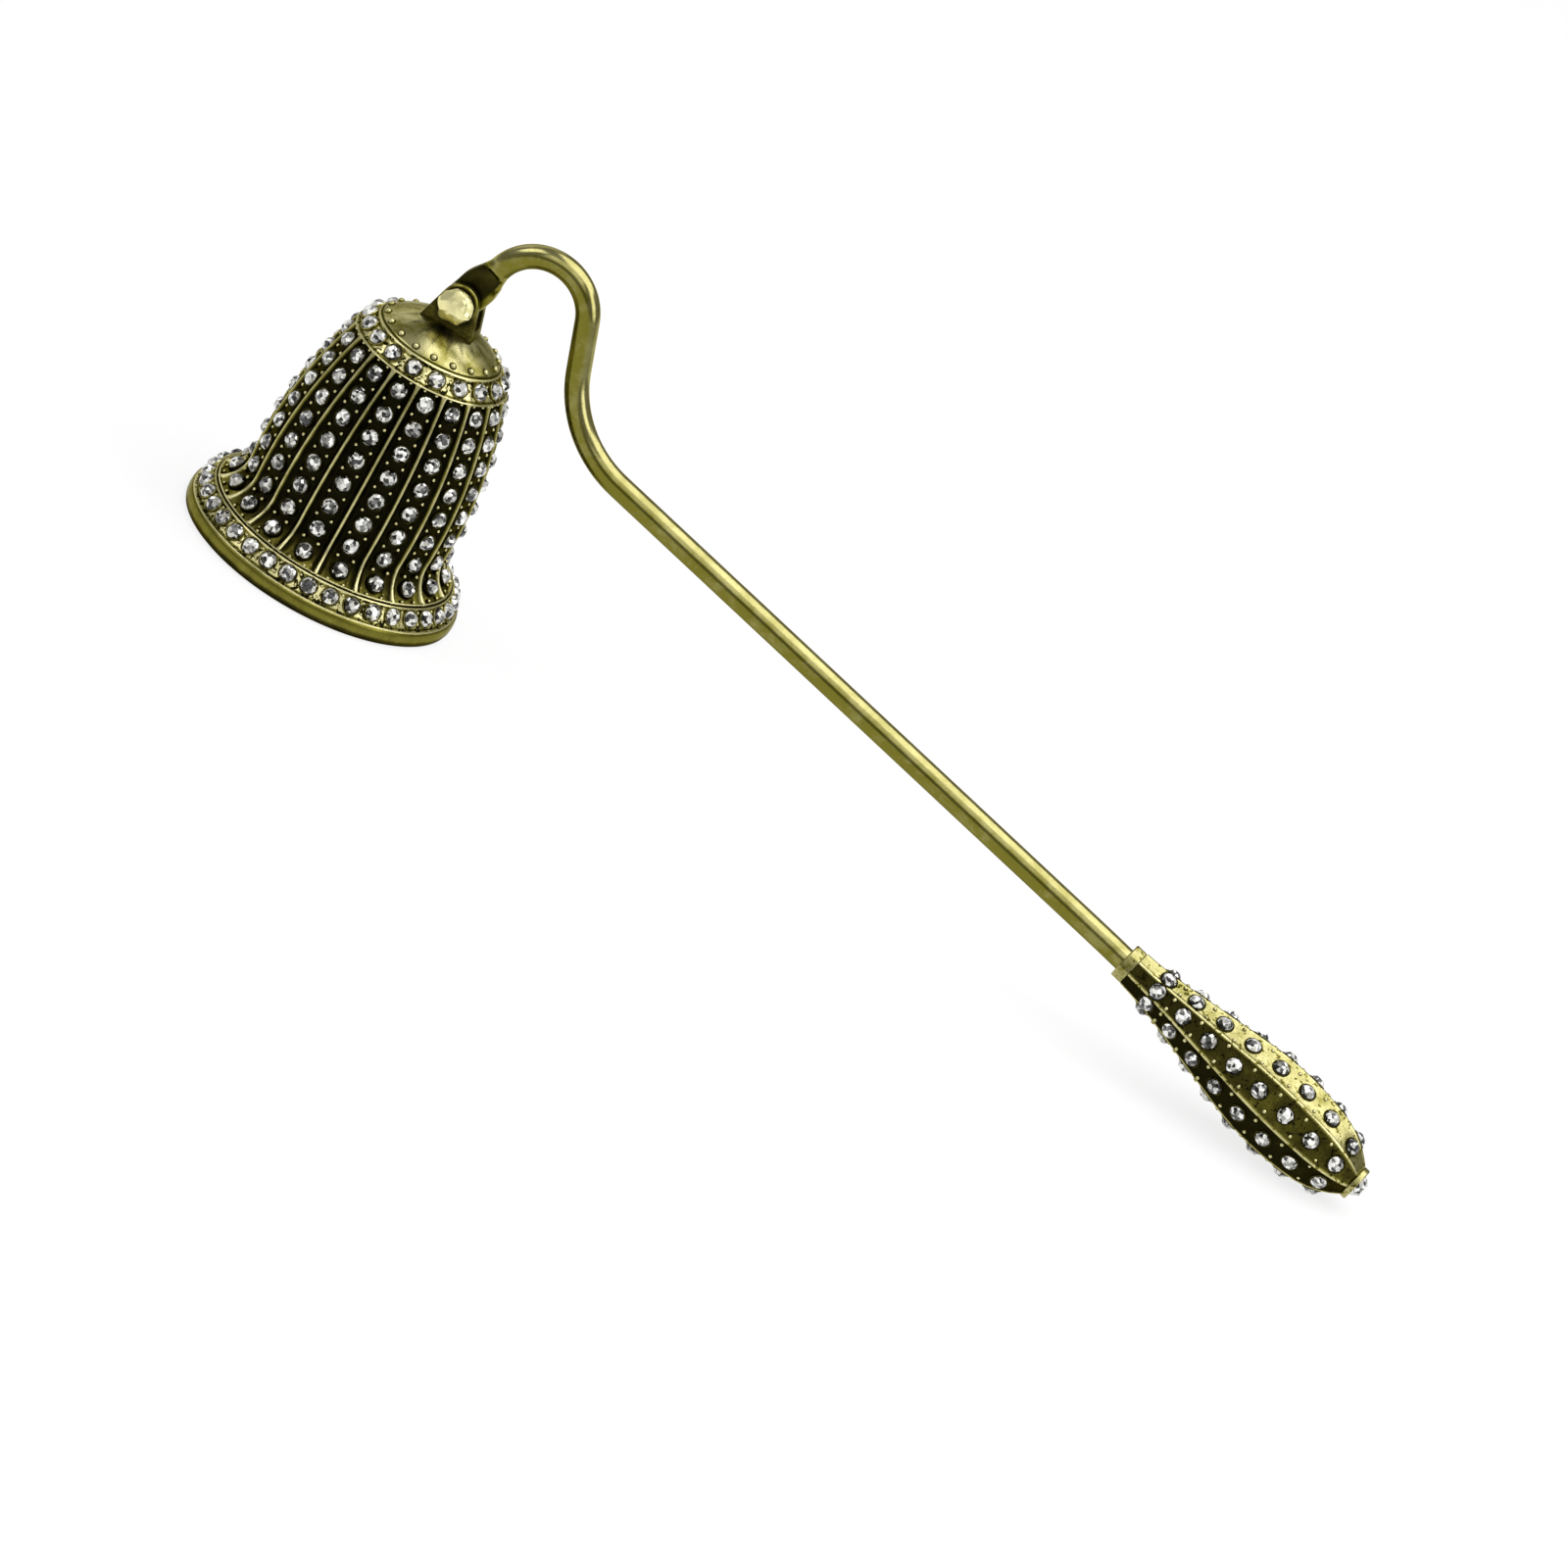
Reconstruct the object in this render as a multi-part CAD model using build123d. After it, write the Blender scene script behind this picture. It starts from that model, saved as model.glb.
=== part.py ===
from build123d import *
import math
import os

# Candle snuffer: a ribbed, jewelled bell hinged to a gooseneck rod with an eight-sided handle.
# All sizes are in millimetres. The origin is the centre of the bell's mouth, on the plane of its rim.
# +Z is up the bell, +X points from the bell to the handle, and the hinge pin lies along Y.

# Bell outline, from the rim up. The radii are those of the raised ribs and ring lines. The lip is
# rounded in from the mouth's full radius by the insets, and the shares are those of the same radius.
mouth_radius = 25.0
mouth_wall = 2.0
rim_inset = 0.8
lip_edge_inset = 0.1
lip_edge_height = 0.5
lip_bulge_height = 1.4
lip_top_inset = 0.6
lip_height = 2.9
lower_band_height = 3.6
skirt_share = 0.88
flare_height = 5.5
waist_share = 0.74
body_height = 29.8
body_bulge = 1.6
shoulder_share = 0.562
upper_band_height = 3.1
crown_share = 0.454
dome_rise = 4.2
bell_wall = 1.8
dome_wall = 2.4

# Ribs, ring lines and panels of the bell.
rib_count = 18
rib_width = 0.65
panel_recess = 0.6
rib_root = 0.4
line_width = 0.7
line_rise = 0.25

# Round flat-backed stones of the bell.
bell_stone_radius = 1.45
bell_stone_height = 1.15
panel_stone_rows = 8
panel_end_margin = 2.7
lower_band_stone_count = 36

# Hinge: two ears on a foot let into the dome, and a headed pin along Y. The slot between the ears
# has its floor just above the dome, and the tang clears that floor by the tip gap.
clevis_floor_rise = 0.9
tang_tip_gap = 0.2
ear_radius = 3.3
clevis_foot_length = 9.8
clevis_width = 6.0
clevis_foot_depth = 2.4
foot_side_height = 0.7
ear_edge_chamfer = 0.3
pin_radius = 1.0
pin_head_radius = 2.9
pin_head_seat_radius = 2.1
pin_head_top_radius = 1.6
pin_head_height = 4.0
peen_radius = 1.7
peen_top_radius = 1.1
peen_rise = 0.8
pin_seat_gap = 0.01
pin_running_gap = 0.06

# Rod: a tang between the ears, a gooseneck, a lower bend and a long straight shaft.
rod_radius = 2.1
tang_side_gap = 0.2
tang_thickness = 2.4
tang_end_radius = 3.2
tang_lean_angle = 18.8
paddle_length = 8.8
paddle_half_width = 3.3
paddle_widest_distance = 3.4
scoop_radius = 3.4
scoop_distance = 4.5
gooseneck_radius = 8.9
gooseneck_angle = 142.4
neck_length = 8.8
lower_bend_radius = 20.3
lower_bend_angle = 59.64
shaft_length = 106.7
droop_radius = 400.0
droop_angle = 1.1
socket_depth = 12.0
socket_gap = 0.04

# Handle: an eight-sided drop between a plain collar and a small end cap. Its side swells from the neck
# along an arc and a straight line, turns over the belly and closes with the arc of the tip.
handle_faces = 8
collar_length = 2.2
collar_apothem = 3.25
handle_neck_apothem = 3.35
neck_lean_angle = 2.5
neck_arc_radius = 80.0
neck_arc_angle = 7.0
swell_length = 14.9
belly_arc_radius = 55.0
belly_arc_angle = 18.5
tip_arc_radius = 16.0
tip_arc_angle = 32.5
handle_stone_radius = 1.4
handle_stone_height = 0.85
handle_stone_rows = 8
handle_first_stone = 5.5
handle_last_stone = 46.8
end_cap_radius = 3.1
end_cap_length = 1.1
end_cap_recess = 0.5
end_stone_radius = 2.2
end_stone_height = 1.9

# The cut of every stone, as shares of its own radius, and the overrun of every cutting tool.
stone_sides = 6
end_stone_sides = 12
pin_head_sides = 10
table_share = 0.55
overrun = 1.0

# How finely the cast rounds are faceted: sides round the bell, and steps along each curve.
round_sides = 54
flare_steps = 4
body_steps = 6
dome_steps = 5
roof_steps = 3
cavity_steps = 3

# Radii that follow from the mouth's.
mouth_bore_radius = mouth_radius - mouth_wall
rim_flat_radius = mouth_radius - rim_inset
lip_edge_radius = mouth_radius - lip_edge_inset
lip_top_radius = mouth_radius - lip_top_inset
skirt_radius = mouth_radius * skirt_share
waist_radius = mouth_radius * waist_share
shoulder_radius = mouth_radius * shoulder_share
crown_radius = mouth_radius * crown_share

# Heights that follow from the outline.
skirt_height = lip_height + lower_band_height
waist_height = skirt_height + flare_height
shoulder_height = waist_height + body_height
crown_height = shoulder_height + upper_band_height
apex_height = crown_height + dome_rise

# Places that follow from the hinge.
rib_step = 360 / rib_count
clevis_floor_height = apex_height + clevis_floor_rise
pivot_height = clevis_floor_height + tang_tip_gap + tang_end_radius
pivot = Vector(0, 0, pivot_height)
tang_lean = math.radians(tang_lean_angle)
tang_direction = Vector(math.sin(tang_lean), 0, math.cos(tang_lean))
across_tang = Vector(tang_direction.Z, 0, -tang_direction.X)

# How a solid of revolution stands on its plane.
on_base = (Align.CENTER, Align.CENTER, Align.MIN)


def side_points(depth, lower_steps, upper_steps):
    """The bell's side from the skirt up to the shoulder, at a depth below the rib tops.

    The body is an arc that bulges outwards, and the flare is an arc that runs on smoothly from it.
    """
    waist = (waist_radius - depth, waist_height)
    body = SagittaArc(waist, (shoulder_radius - depth, shoulder_height), -body_bulge)
    flare = TangentArc(waist, (skirt_radius - depth, skirt_height), tangent=-(body % 0))
    points = [flare @ (1 - index / lower_steps) for index in range(lower_steps)]
    points += [body @ (index / upper_steps) for index in range(upper_steps + 1)]
    return [(point.X, point.Y) for point in points]


def section(points):
    """A face in the XZ plane from corners given as radius and height."""
    return Plane.XZ * make_face(Polyline(*points, close=True).edges())


def frustum(low, high, sides, turn=0.0):
    """A many-sided tapered slice between two corners given as radius and height."""
    base, end = (low, high) if low[0] >= high[0] else (high, low)
    height = end[1] - base[1]
    shrink = (base[0] - end[0]) * math.cos(math.pi / sides)
    plane = Plane((0, 0, base[1]), x_dir=(1, 0, 0), z_dir=(0, 0, math.copysign(1, height)))
    outline = plane * RegularPolygon(base[0], sides, rotation=turn)
    return extrude(outline, abs(height), taper=math.degrees(math.atan2(shrink, abs(height))))


def turned(points):
    """A round solid about Z, from its side's corners in rising order."""
    slices = [frustum(low, high, round_sides) for low, high in zip(points, points[1:])]
    return slices[0] + slices[1:]


def slabs_crossed(half_section, half_width, faces):
    """The solid whose every flat-across face follows the half section's side, round Z."""
    half = extrude(half_section, half_width, both=True)
    slab = half + half.mirror(Plane.YZ)
    solid = Rot(0, 0, 180 / faces) * slab
    for index in range(1, faces // 2):
        solid = solid & Rot(0, 0, (index + 0.5) * 360 / faces) * slab
    return solid


def panel_core():
    """The body between the ring lines: flat across each panel and curved up the bell."""
    side = side_points(panel_recess, flare_steps, body_steps)
    outline = section([(0, skirt_height), *side, (0, shoulder_height)])
    return slabs_crossed(outline, skirt_radius, rib_count)


def rib():
    """One raised rib from the skirt ring to the shoulder ring, on the +X side of the bell."""
    outer = side_points(0.0, flare_steps, body_steps)
    inner = side_points(panel_recess + rib_root, flare_steps, body_steps)
    return extrude(section(outer + inner[::-1]), rib_width / 2, both=True)


def band(bottom_radius, bottom_height, top_radius, top_height, sides, turn):
    """A tapered band that is flat under each of its stones and lies below the ring lines."""
    to_corner = 1 / math.cos(math.pi / sides)
    low = ((bottom_radius - line_rise) * to_corner, bottom_height)
    high = ((top_radius - line_rise) * to_corner, top_height)
    return frustum(low, high, sides, turn)


def lip():
    """The plain rounded lip below the lower band, with a flat rim to stand on."""
    return turned(
        [
            (rim_flat_radius, 0),
            (lip_edge_radius, lip_edge_height),
            (mouth_radius, lip_bulge_height),
            (lip_top_radius, lip_height),
        ]
    )


def cap_corners(edge_radius, edge_height, rise, steps):
    """Corners of a round cap from its edge up to the flat left at its top."""
    sphere_radius = (edge_radius**2 + rise**2) / (2 * rise)
    half_angle = math.asin(edge_radius / sphere_radius)
    centre_height = edge_height + rise - sphere_radius
    angles = [half_angle * (1 - index / steps) for index in range(steps)]
    return [
        (sphere_radius * math.sin(angle), centre_height + sphere_radius * math.cos(angle))
        for angle in angles
    ]


def dome():
    """The smooth dome above the upper band. Its edge stands proud of the band as a ring line."""
    return turned(cap_corners(crown_radius, crown_height, dome_rise, dome_steps))


def ring_line(radius, height, slope):
    """A raised line round the bell, with its crest at the radius and height.

    The slope is the radius that the bell loses for each step up at the line.
    """
    half = line_width / 2
    root = radius - 2 * line_width
    lower = [(root, height - half - line_width), (radius + slope * half - line_rise, height - half)]
    upper = [(radius - slope * half - line_rise, height + half), (root, height + line_width)]
    return turned([*lower, (radius, height), *upper])


def ring_lines():
    """The ring lines at the skirt and the shoulder, each between the surfaces that it parts."""
    skirt_slope = (lip_top_radius - skirt_radius) / lower_band_height
    band_slope = (shoulder_radius - crown_radius) / upper_band_height
    return [
        ring_line(skirt_radius, skirt_height, skirt_slope),
        ring_line(shoulder_radius, shoulder_height, band_slope / 2),
    ]


def cavity():
    """The hollow inside of the bell, open at the mouth."""
    apex = apex_height - dome_wall
    side = side_points(bell_wall, cavity_steps, cavity_steps)
    neck_radius = side[-1][0]
    roof = cap_corners(neck_radius, shoulder_height, apex - shoulder_height, roof_steps)
    mouth = [(mouth_bore_radius, -overrun), (mouth_bore_radius, 0)]
    return turned(mouth + side + roof[1:])


def clevis_pocket():
    """The recess in the dome that takes the clevis's foot."""
    floor = clevis_floor_height - clevis_foot_depth
    height = apex_height + overrun - floor
    return Pos(0, 0, floor) * Box(clevis_foot_length, clevis_width, height, align=on_base)


def bell_shell():
    """The cast bell with its ribs, bands, ring lines, lip and dome."""
    half_turn = 180 / lower_band_stone_count
    lower_band = band(
        lip_top_radius, lip_height, skirt_radius, skirt_height, lower_band_stone_count, half_turn
    )
    upper_band = band(
        shoulder_radius, shoulder_height, crown_radius, crown_height, rib_count, 0
    )
    one_rib = rib()
    ribs = [Rot(0, 0, index * rib_step) * one_rib for index in range(rib_count)]
    solid = panel_core() + [lower_band, upper_band, lip(), dome(), *ring_lines(), *ribs]
    return solid - cavity() - clevis_pocket()


def stone(radius, height, sides):
    """A flat-backed stone with a low crown and a flat table, standing on the XY plane."""
    base = RegularPolygon(radius, sides)
    flank = radius * math.cos(math.pi / sides) * (1 - table_share)
    return extrude(base, height, taper=math.degrees(math.atan2(flank, height)))


def seat_on_line(line, distance, radius):
    """A plane on which a stone sits at a distance along a line that runs up the XZ plane."""
    before = line.position_at(distance - radius, position_mode=PositionMode.LENGTH)
    middle = line.position_at(distance, position_mode=PositionMode.LENGTH)
    after = line.position_at(distance + radius, position_mode=PositionMode.LENGTH)
    outward = Vector(0, 1, 0).cross((after - before).normalized())
    corners = [vertex.center() for vertex in line.vertices()]
    near = [corner for corner in corners if (corner - middle).length < radius]
    lift = max((point - middle).dot(outward) for point in [before, middle, *near])
    return Plane(middle + outward * lift, x_dir=(0, 1, 0), z_dir=outward)


def stones_round_bell(seat, count, first_angle):
    """Copies of a bell stone, evenly spaced round the Z axis."""
    one = seat.location * stone(bell_stone_radius, bell_stone_height, stone_sides)
    return [Rot(0, 0, first_angle + index * 360 / count) * one for index in range(count)]


def panel_line():
    """The middle of a panel's floor, from the skirt ring up to the shoulder ring."""
    return Plane.XZ * Polyline(*side_points(panel_recess, flare_steps, body_steps))


def panel_stone_row(row):
    """One stone in each panel, all at the same height. Row 1 is the lowest."""
    line = panel_line()
    pitch = (line.length - 2 * panel_end_margin) / (panel_stone_rows - 1)
    seat = seat_on_line(line, panel_end_margin + (row - 1) * pitch, bell_stone_radius)
    return stones_round_bell(seat, rib_count, rib_step / 2)


def band_stones(bottom_radius, bottom_height, top_radius, top_height, count, first_angle):
    """A row of stones in the middle of a band."""
    line = Plane.XZ * Line(
        (bottom_radius - line_rise, bottom_height), (top_radius - line_rise, top_height)
    )
    seat = seat_on_line(line, line.length / 2, bell_stone_radius)
    return stones_round_bell(seat, count, first_angle)


def upper_band_stones():
    """One stone above each panel."""
    return band_stones(
        shoulder_radius, shoulder_height, crown_radius, crown_height, rib_count, rib_step / 2
    )


def lower_band_stones():
    """A closer row round the skirt."""
    return band_stones(
        lip_top_radius, lip_height, skirt_radius, skirt_height, lower_band_stone_count, 0
    )


def along_pin(radius, length):
    """A cylinder on the pin's axis, centred between the ears."""
    return Pos(pivot.X, pivot.Y, pivot.Z) * Rot(90, 0, 0) * Cylinder(radius, length)


def hinge_clevis():
    """Two round-topped ears that taper up from a foot let into the dome."""
    foot_bottom = clevis_floor_height - clevis_foot_depth
    foot = Pos(0, foot_bottom + foot_side_height / 2) * Rectangle(
        clevis_foot_length, foot_side_height
    )
    ear_top = Pos(0, pivot_height) * Circle(ear_radius)
    outline = make_hull(foot.edges() + ear_top.edges())
    block = extrude(Plane.XZ * outline, clevis_width / 2, both=True)
    taper_start = foot_bottom + foot_side_height
    ear_edges = [
        edge for edge in block.faces().filter_by(Axis.Y).edges() if edge.center().Z > taper_start
    ]
    block = chamfer(ear_edges, ear_edge_chamfer)
    slot_width = tang_thickness + 2 * tang_side_gap
    slot_height = ear_radius + pivot_height - clevis_floor_height + overrun
    slot_length = clevis_foot_length + 2 * overrun
    slot = Pos(0, 0, clevis_floor_height) * Box(slot_length, slot_width, slot_height, align=on_base)
    return block - slot - along_pin(pin_radius + pin_seat_gap, clevis_width + 2 * overrun)


def pin_plane(distance, direction):
    """A plane square to the pin at a distance from the middle, facing out in the given direction."""
    return Plane(pivot + Vector(0, direction * distance, 0), z_dir=(0, direction, 0))


def hinge_pin():
    """The pin: a faceted round head on the front ear, a plain shank and a low peened end."""
    ear_face = clevis_width / 2
    half_head = pin_head_height / 2
    to_seat = math.degrees(math.atan2(pin_head_radius - pin_head_seat_radius, half_head))
    to_top = math.degrees(math.atan2(pin_head_radius - pin_head_top_radius, half_head))
    widest = RegularPolygon(pin_head_radius, pin_head_sides)
    head = extrude(widest, half_head, taper=to_top)
    head += extrude(widest, half_head, taper=to_seat).mirror(Plane.XY)
    peen = Cone(peen_radius, peen_top_radius, peen_rise, align=on_base)
    pin = along_pin(pin_radius, clevis_width)
    pin += pin_plane(ear_face + half_head, -1).location * head
    return pin + pin_plane(ear_face, 1).location * peen


def rod_path():
    """The rod's centre line, from the top of the paddle to its end inside the handle."""
    start = pivot + tang_direction * paddle_length
    gooseneck = JernArc((start.X, start.Z), tang_direction_2d(), gooseneck_radius, -gooseneck_angle)
    neck = PolarLine(gooseneck @ 1, neck_length, direction=gooseneck % 1)
    lower_bend = JernArc(neck @ 1, neck % 1, lower_bend_radius, lower_bend_angle)
    shaft = PolarLine(lower_bend @ 1, shaft_length, direction=lower_bend % 1)
    droop = JernArc(shaft @ 1, shaft % 1, droop_radius, -droop_angle)
    inside = PolarLine(droop @ 1, socket_depth, direction=droop % 1)
    lines = [gooseneck, neck, lower_bend, shaft, droop, inside]
    return Plane.XZ * Wire([line.edge() for line in lines])


def tang_direction_2d():
    """The tang's direction as radius and height."""
    return (tang_direction.X, tang_direction.Z)


def tang_plane(distance):
    """A plane square to the tang, at a distance from the pivot. Its x axis lies in the rod's plane."""
    return Plane(pivot + tang_direction * distance, x_dir=across_tang, z_dir=tang_direction)


def scoops():
    """The hollows that thin the paddle from both sides down to the flat tang."""
    side = Plane(pivot, x_dir=tang_direction, z_dir=(0, 1, 0))
    end = Pos(scoop_distance, 0) * Circle(scoop_radius)
    rest = Rectangle(2 * scoop_distance, 4 * paddle_half_width)
    depth = rod_radius - tang_thickness / 2
    one = extrude(side.offset(tang_thickness / 2) * (end + rest), depth + overrun)
    return one + one.mirror(Plane.XZ)


def paddle():
    """The flared end of the rod: thick next to the gooseneck, with a flat tang between the ears."""
    thick = loft(
        [
            tang_plane(paddle_widest_distance) * Ellipse(paddle_half_width, rod_radius),
            tang_plane(paddle_length) * Circle(rod_radius),
        ]
    )
    side = Plane(pivot, x_dir=tang_direction, z_dir=(0, 1, 0))
    rounds = [
        Circle(tang_end_radius),
        Pos(paddle_widest_distance, 0) * Circle(paddle_half_width),
        Pos(paddle_length - rod_radius, 0) * Circle(rod_radius),
    ]
    outline = make_hull([edge for circle in rounds for edge in circle.edges()])
    return (thick - scoops()) + extrude(side * outline, tang_thickness / 2, both=True)


def gooseneck_rod():
    """The whole rod, with the running hole for the pin in its tang."""
    path = rod_path()
    section = tang_plane(paddle_length) * Circle(rod_radius)
    rod = sweep(section, path=path)
    rod += paddle()
    return rod - along_pin(pin_radius + pin_running_gap, clevis_width)


def handle_plane():
    """The plane square to the handle where the collar starts. Its x axis points across the rod, upwards."""
    path = rod_path()
    end = path.position_at(1)
    along = path.tangent_at(1)
    start = end - along * socket_depth
    return Plane(start, x_dir=Vector(0, 1, 0).cross(along), z_dir=along)


def handle_outline():
    """The middle of one face of the handle's body, collar to end cap, as apothem and distance."""
    lean = math.radians(neck_lean_angle)
    first = (math.sin(lean), math.cos(lean))
    neck = JernArc((handle_neck_apothem, collar_length), first, neck_arc_radius, -neck_arc_angle)
    swell = PolarLine(neck @ 1, swell_length, direction=neck % 1)
    belly = JernArc(swell @ 1, swell % 1, belly_arc_radius, belly_arc_angle)
    tip = JernArc(belly @ 1, belly % 1, tip_arc_radius, tip_arc_angle)
    return Wire([neck.edge(), swell.edge(), belly.edge(), tip.edge()])


def handle_end():
    """The distance from the start of the collar to the end cap."""
    return (handle_outline() @ 1).Y


def eight_sided(outline):
    """The solid whose every face follows the outline up its middle, standing on the XY plane."""
    bottom = outline @ 0
    top = outline @ 1
    closing = Polyline((top.X, top.Y), (0, top.Y), (0, bottom.Y), (bottom.X, bottom.Y))
    half = Plane.XZ * make_face([*outline.edges(), *closing.edges()])
    return slabs_crossed(half, swell_length, handle_faces)


def socket():
    """The blind hole that takes the rod."""
    hole = Cylinder(rod_radius + socket_gap, socket_depth + overrun, align=on_base)
    return Pos(0, 0, -overrun) * hole


def handle_collar():
    """The plain collar round the rod."""
    outline = Line((collar_apothem, 0), (collar_apothem, collar_length))
    return handle_plane().location * (eight_sided(outline) - socket())


def handle_body():
    """The drop-shaped body."""
    return handle_plane().location * (eight_sided(handle_outline()) - socket())


def handle_end_cap():
    """The small round cap, with a recess for its stone."""
    cap = Cylinder(end_cap_radius, end_cap_length, align=on_base)
    recess_floor = Pos(0, 0, end_cap_length - end_cap_recess)
    recess = recess_floor * Cylinder(end_stone_radius, end_cap_length, align=on_base)
    return handle_plane().location * Pos(0, 0, handle_end()) * (cap - recess)


def handle_end_stone():
    """The stone in the end cap."""
    height = handle_end() + end_cap_length - end_cap_recess
    gem = stone(end_stone_radius, end_stone_height, end_stone_sides)
    return handle_plane().location * Pos(0, 0, height) * gem


def handle_stone_row(row):
    """One stone on each face of the handle. Row 1 is next to the collar."""
    line = Plane.XZ * handle_outline()
    pitch = (handle_last_stone - handle_first_stone) / (handle_stone_rows - 1)
    seat = seat_on_line(line, handle_first_stone + (row - 1) * pitch, handle_stone_radius)
    one = seat.location * stone(handle_stone_radius, handle_stone_height, stone_sides)
    step = 360 / handle_faces
    turns = [Rot(0, 0, (index + 0.5) * step) for index in range(handle_faces)]
    return [handle_plane().location * turn * one for turn in turns]


def write(name, shape):
    """Write one piece, or one group of separate pieces, under its own name."""
    whole = Compound(shape) if isinstance(shape, list) else shape
    export_step(whole, f"parts/{name}.step")


def main():
    os.makedirs("parts", exist_ok=True)
    write("bell_shell", bell_shell())
    write("hinge_clevis", hinge_clevis())
    write("hinge_pin", hinge_pin())
    write("gooseneck_rod", gooseneck_rod())
    write("handle_collar", handle_collar())
    write("handle_body", handle_body())
    write("handle_end_cap", handle_end_cap())
    write("handle_end_stone", handle_end_stone())
    write("upper_band_stones", upper_band_stones())
    write("lower_band_stones", lower_band_stones())
    for row in range(1, panel_stone_rows + 1):
        write(f"panel_stones_row_{row}", panel_stone_row(row))
    for row in range(1, handle_stone_rows + 1):
        write(f"handle_stones_row_{row}", handle_stone_row(row))


main()
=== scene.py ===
"""A jewelled candle snuffer: the finished look of every piece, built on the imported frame."""

import math
import random

import bmesh
import bpy
from mathutils import Matrix, Vector, noise


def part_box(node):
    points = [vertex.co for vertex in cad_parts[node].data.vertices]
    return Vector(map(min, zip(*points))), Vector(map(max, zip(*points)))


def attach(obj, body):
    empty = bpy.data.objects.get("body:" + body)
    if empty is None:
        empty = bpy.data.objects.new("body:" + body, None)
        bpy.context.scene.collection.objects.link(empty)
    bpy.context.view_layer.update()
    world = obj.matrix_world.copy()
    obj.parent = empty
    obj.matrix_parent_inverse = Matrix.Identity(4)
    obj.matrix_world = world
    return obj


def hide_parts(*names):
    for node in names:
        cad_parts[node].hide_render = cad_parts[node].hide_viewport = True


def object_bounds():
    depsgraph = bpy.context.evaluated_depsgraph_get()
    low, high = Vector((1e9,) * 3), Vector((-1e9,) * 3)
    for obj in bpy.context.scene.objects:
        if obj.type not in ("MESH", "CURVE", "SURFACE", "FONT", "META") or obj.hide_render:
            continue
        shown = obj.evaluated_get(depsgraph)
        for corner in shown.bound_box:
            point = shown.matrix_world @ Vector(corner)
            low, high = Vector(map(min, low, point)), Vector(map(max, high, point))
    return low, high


bl_info = {
    "name": "Jewelled candle snuffer",
    "version": (1, 0, 0),
    "blender": (4, 5, 0),
    "location": "3D View > Sidebar > Snuffer",
    "description": "Dresses a hinged, stone-set candle snuffer in cast brass and cut stones",
    "category": "Object",
}

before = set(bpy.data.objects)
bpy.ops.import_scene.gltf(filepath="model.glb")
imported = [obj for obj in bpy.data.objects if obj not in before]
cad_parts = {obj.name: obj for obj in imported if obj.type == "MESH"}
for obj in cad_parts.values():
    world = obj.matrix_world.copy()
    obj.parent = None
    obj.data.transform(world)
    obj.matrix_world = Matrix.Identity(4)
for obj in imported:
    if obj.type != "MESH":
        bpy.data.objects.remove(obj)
cad_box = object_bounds()

MM = 0.001
PIN_AXIS = Vector((0, 1, 0))
# Points of a node's mesh that are closer than this are one point.
WELD = 0.002 * MM
# Depths in the relief: a worn crest, thin umber patina and the black of a hollow.
WORN, UMBER, BLACK = -0.5, 0.5, 1.0


def length(name, description, default):
    """A size in the sidebar, stored in metres and given here in millimetres."""
    return bpy.props.FloatProperty(
        name=name, description=description, default=default * MM, unit="LENGTH", precision=5
    )


def colour(name, description, default):
    """A linear colour in the sidebar."""
    return bpy.props.FloatVectorProperty(
        name=name, description=description, default=default, size=3, subtype="COLOR", min=0, max=1
    )


def share(name, description, default):
    """A factor between nought and one in the sidebar."""
    return bpy.props.FloatProperty(
        name=name, description=description, default=default, subtype="FACTOR", min=0, max=1
    )


def degrees(name, description, default):
    """An angle in the sidebar, given here in degrees."""
    return bpy.props.FloatProperty(
        name=name, description=description, default=math.radians(default), subtype="ANGLE"
    )


class BellSizes(bpy.types.PropertyGroup):
    """The bell's outline at the height of its ribs, and the relief cast on it."""

    rim_radius: length("Rim", "Radius of the flat that the bell stands on", 24.2)
    lip_radius: length("Lip", "Widest radius of the rounded lip", 24.95)
    lip_top_radius: length("Lip top", "Radius where the lip meets the lower band", 24.4)
    lip_height: length("Lip height", "Height of the lip", 2.9)
    skirt_radius: length("Skirt", "Radius of the ring line above the lower band", 22.0)
    skirt_height: length("Skirt height", "Height of the ring line above the lower band", 6.5)
    waist_radius: length("Waist", "Radius where the flare runs into the body", 18.5)
    waist_height: length("Waist height", "Height where the flare runs into the body", 12.0)
    shoulder_radius: length("Shoulder", "Radius of the ring line below the upper band", 14.05)
    shoulder_height: length("Shoulder height", "Height of that ring line", 41.8)
    body_bulge: length("Bulge", "How far the body swells out between waist and shoulder", 1.6)
    crown_radius: length("Crown", "Radius of the ring line round the dome", 11.35)
    crown_height: length("Crown height", "Height of the ring line round the dome", 44.9)
    dome_rise: length("Dome rise", "How far the dome rises above its ring line", 4.2)
    bore_radius: length("Bore", "Radius of the mouth's opening", 23.0)
    wall: length("Wall", "Thickness of the cast wall", 1.8)
    dome_wall: length("Dome wall", "Thickness of the dome", 2.4)
    panel_recess: length("Panel depth", "Depth of the panels below the ribs", 0.6)
    groove_depth: length("Groove depth", "Extra depth beside each rib", 0.6)
    band_depth: length("Band depth", "Depth of the bands below the ring lines", 0.25)
    rib_half_width: length("Rib half width", "Half the width of a rib's rounded crest", 0.23)
    ring_half_width: length("Ring half width", "Half the width of a ring line's crest", 0.22)
    ring_gap: length("Ring gap", "Half the gap between the two lines above the lower band", 0.36)
    rib_count: bpy.props.IntProperty(
        name="Ribs", description="Number of ribs round the bell", default=18, min=3
    )
    bead_radius: length("Dome bead", "Radius of the beads round the dome", 0.58)
    bead_ring_radius: length("Bead ring", "Radius of the ring of beads on the dome", 10.15)


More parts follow.
